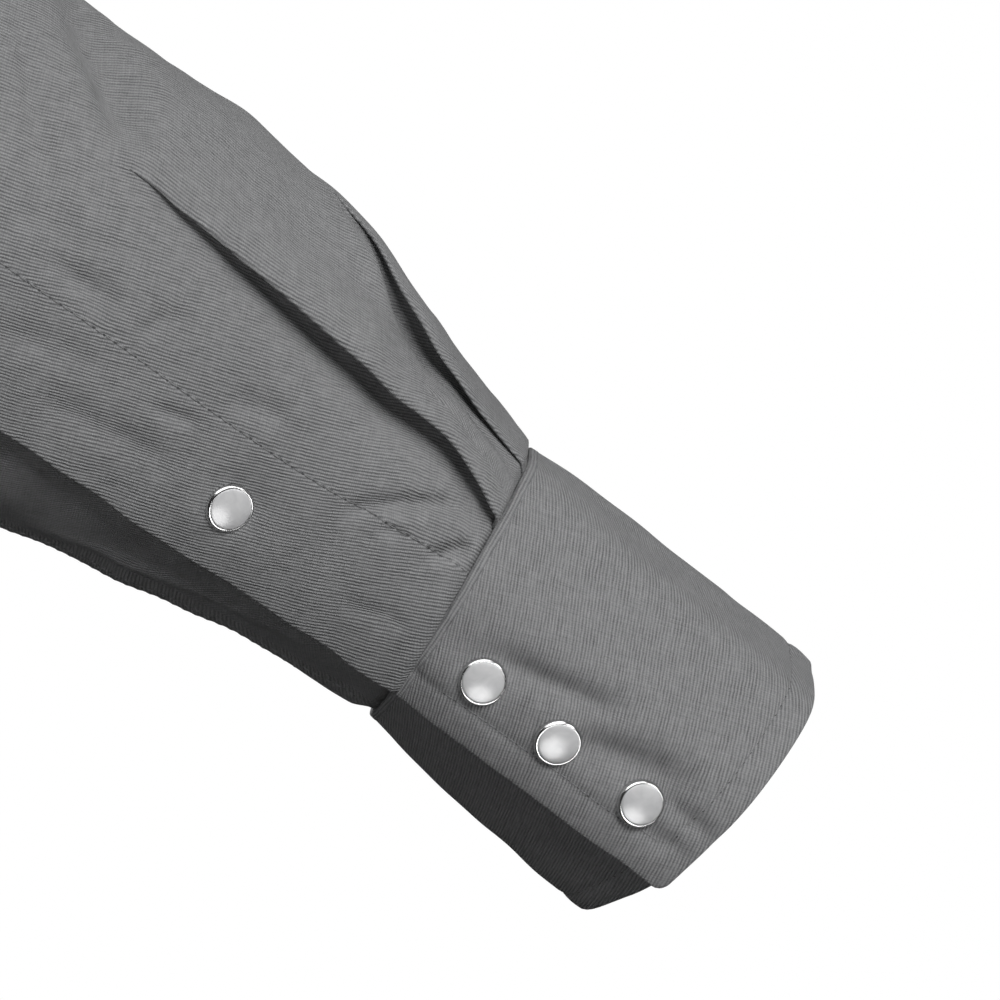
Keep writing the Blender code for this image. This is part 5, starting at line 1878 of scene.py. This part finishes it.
LIGHT_COLUMNS = ("name", "side", "height", "way", "size", "watts", "lights_up")
LIGHTS = (
    # angle from the camera to the image's right, height angle, distance, size, power, and
    # whether it lights all, only gloss or only matt surfaces
    ("key",    25.0,  22.0, 2.2, 1.0, 48.0, "diffuse"),
    ("right",  62.0,  22.0, 2.2, 1.0, 18.0, "all"),
    ("low",   -22.0,   6.0, 2.4, 1.2, 11.0, "diffuse"),
    ("front", 215.0,  25.0, 3.2, 1.4, 75.0, "all"),
    ("above",  -5.0,  62.0, 1.6, 2.4, 40.0, "glossy"),
    ("below",   6.0, -54.0, 1.6, 1.3, 28.0, "glossy"),
)


def make_lights():
    for row in LIGHTS:
        light = dict(zip(LIGHT_COLUMNS, row))
        side = np.radians(light["side"])
        height = np.radians(light["height"])
        way = Vector((
            -np.sin(side) * np.cos(height),
            np.cos(side) * np.cos(height),
            np.sin(height),
        ))
        data = bpy.data.lights.new(light["name"] + "_light", "AREA")
        data.shape = "DISK"
        data.size = light["size"]
        data.energy = light["watts"]
        lamp = bpy.data.objects.new(light["name"] + "_light", data)
        lamp.location = CAMERA_TARGET + way * light["way"]
        lamp.rotation_euler = way.to_track_quat("Z", "Y").to_euler()
        lamp.visible_camera = False
        lamp.visible_diffuse = light["lights_up"] != "glossy"
        lamp.visible_glossy = light["lights_up"] != "diffuse"
        bpy.context.scene.collection.objects.link(lamp)


WORLD_SEEN = 1.0
WORLD_LIGHT = 0.022


def make_world():
    """White where the camera sees it, and dim as a light, so the undersides stay dark."""
    world = bpy.data.worlds.new("white_room")
    world.use_nodes = True
    nodes = world.node_tree.nodes
    links = world.node_tree.links
    seen = nodes["Background"]
    seen.inputs["Strength"].default_value = WORLD_SEEN
    seen.inputs["Color"].default_value = (1.0, 1.0, 1.0, 1.0)
    dim = nodes.new("ShaderNodeBackground")
    dim.inputs["Strength"].default_value = WORLD_LIGHT
    path = nodes.new("ShaderNodeLightPath")
    mix = nodes.new("ShaderNodeMixShader")
    links.new(path.outputs["Is Camera Ray"], mix.inputs["Fac"])
    links.new(dim.outputs["Background"], mix.inputs[1])
    links.new(seen.outputs["Background"], mix.inputs[2])
    links.new(mix.outputs["Shader"], nodes["World Output"].inputs["Surface"])
    bpy.context.scene.world = world


FLOOR_Z = -1.5
FLOOR_HALF = 6.0
FLOOR_GLOW = 0.72


def make_floor():
    corners = ((-1.0, -1.0), (1.0, -1.0), (1.0, 1.0), (-1.0, 1.0))
    points = np.array([(FLOOR_HALF * x, FLOOR_HALF * y, FLOOR_Z) for x, y in corners])
    pale, _, _, shader = new_material("pale_floor")
    shader.inputs["Base Color"].default_value = (0.85, 0.85, 0.85, 1.0)
    shader.inputs["Roughness"].default_value = 0.9
    shader.inputs["Emission Color"].default_value = (1.0, 1.0, 1.0, 1.0)
    shader.inputs["Emission Strength"].default_value = FLOOR_GLOW
    floor = add_mesh("floor", points, np.array([(0, 1, 2, 3)]), None, pale)
    floor.visible_diffuse = False
    floor.visible_glossy = False
    floor.visible_shadow = False


def main():
    bpy.context.scene.view_settings.view_transform = "Standard"
    make_camera()
    make_lights()
    make_world()
    make_floor()
    cloth = twill_material()
    thread = thread_material()
    make_back(cloth)
    make_fronts(cloth)
    make_band(cloth)
    make_stand(cloth)
    make_leaf(cloth)
    make_cuffs(cloth)
    make_sleeves(cloth)
    make_plackets(cloth)
    make_sewing(thread, hole_shade_material())
    make_snaps(chrome_material(), pearl_material())


main()
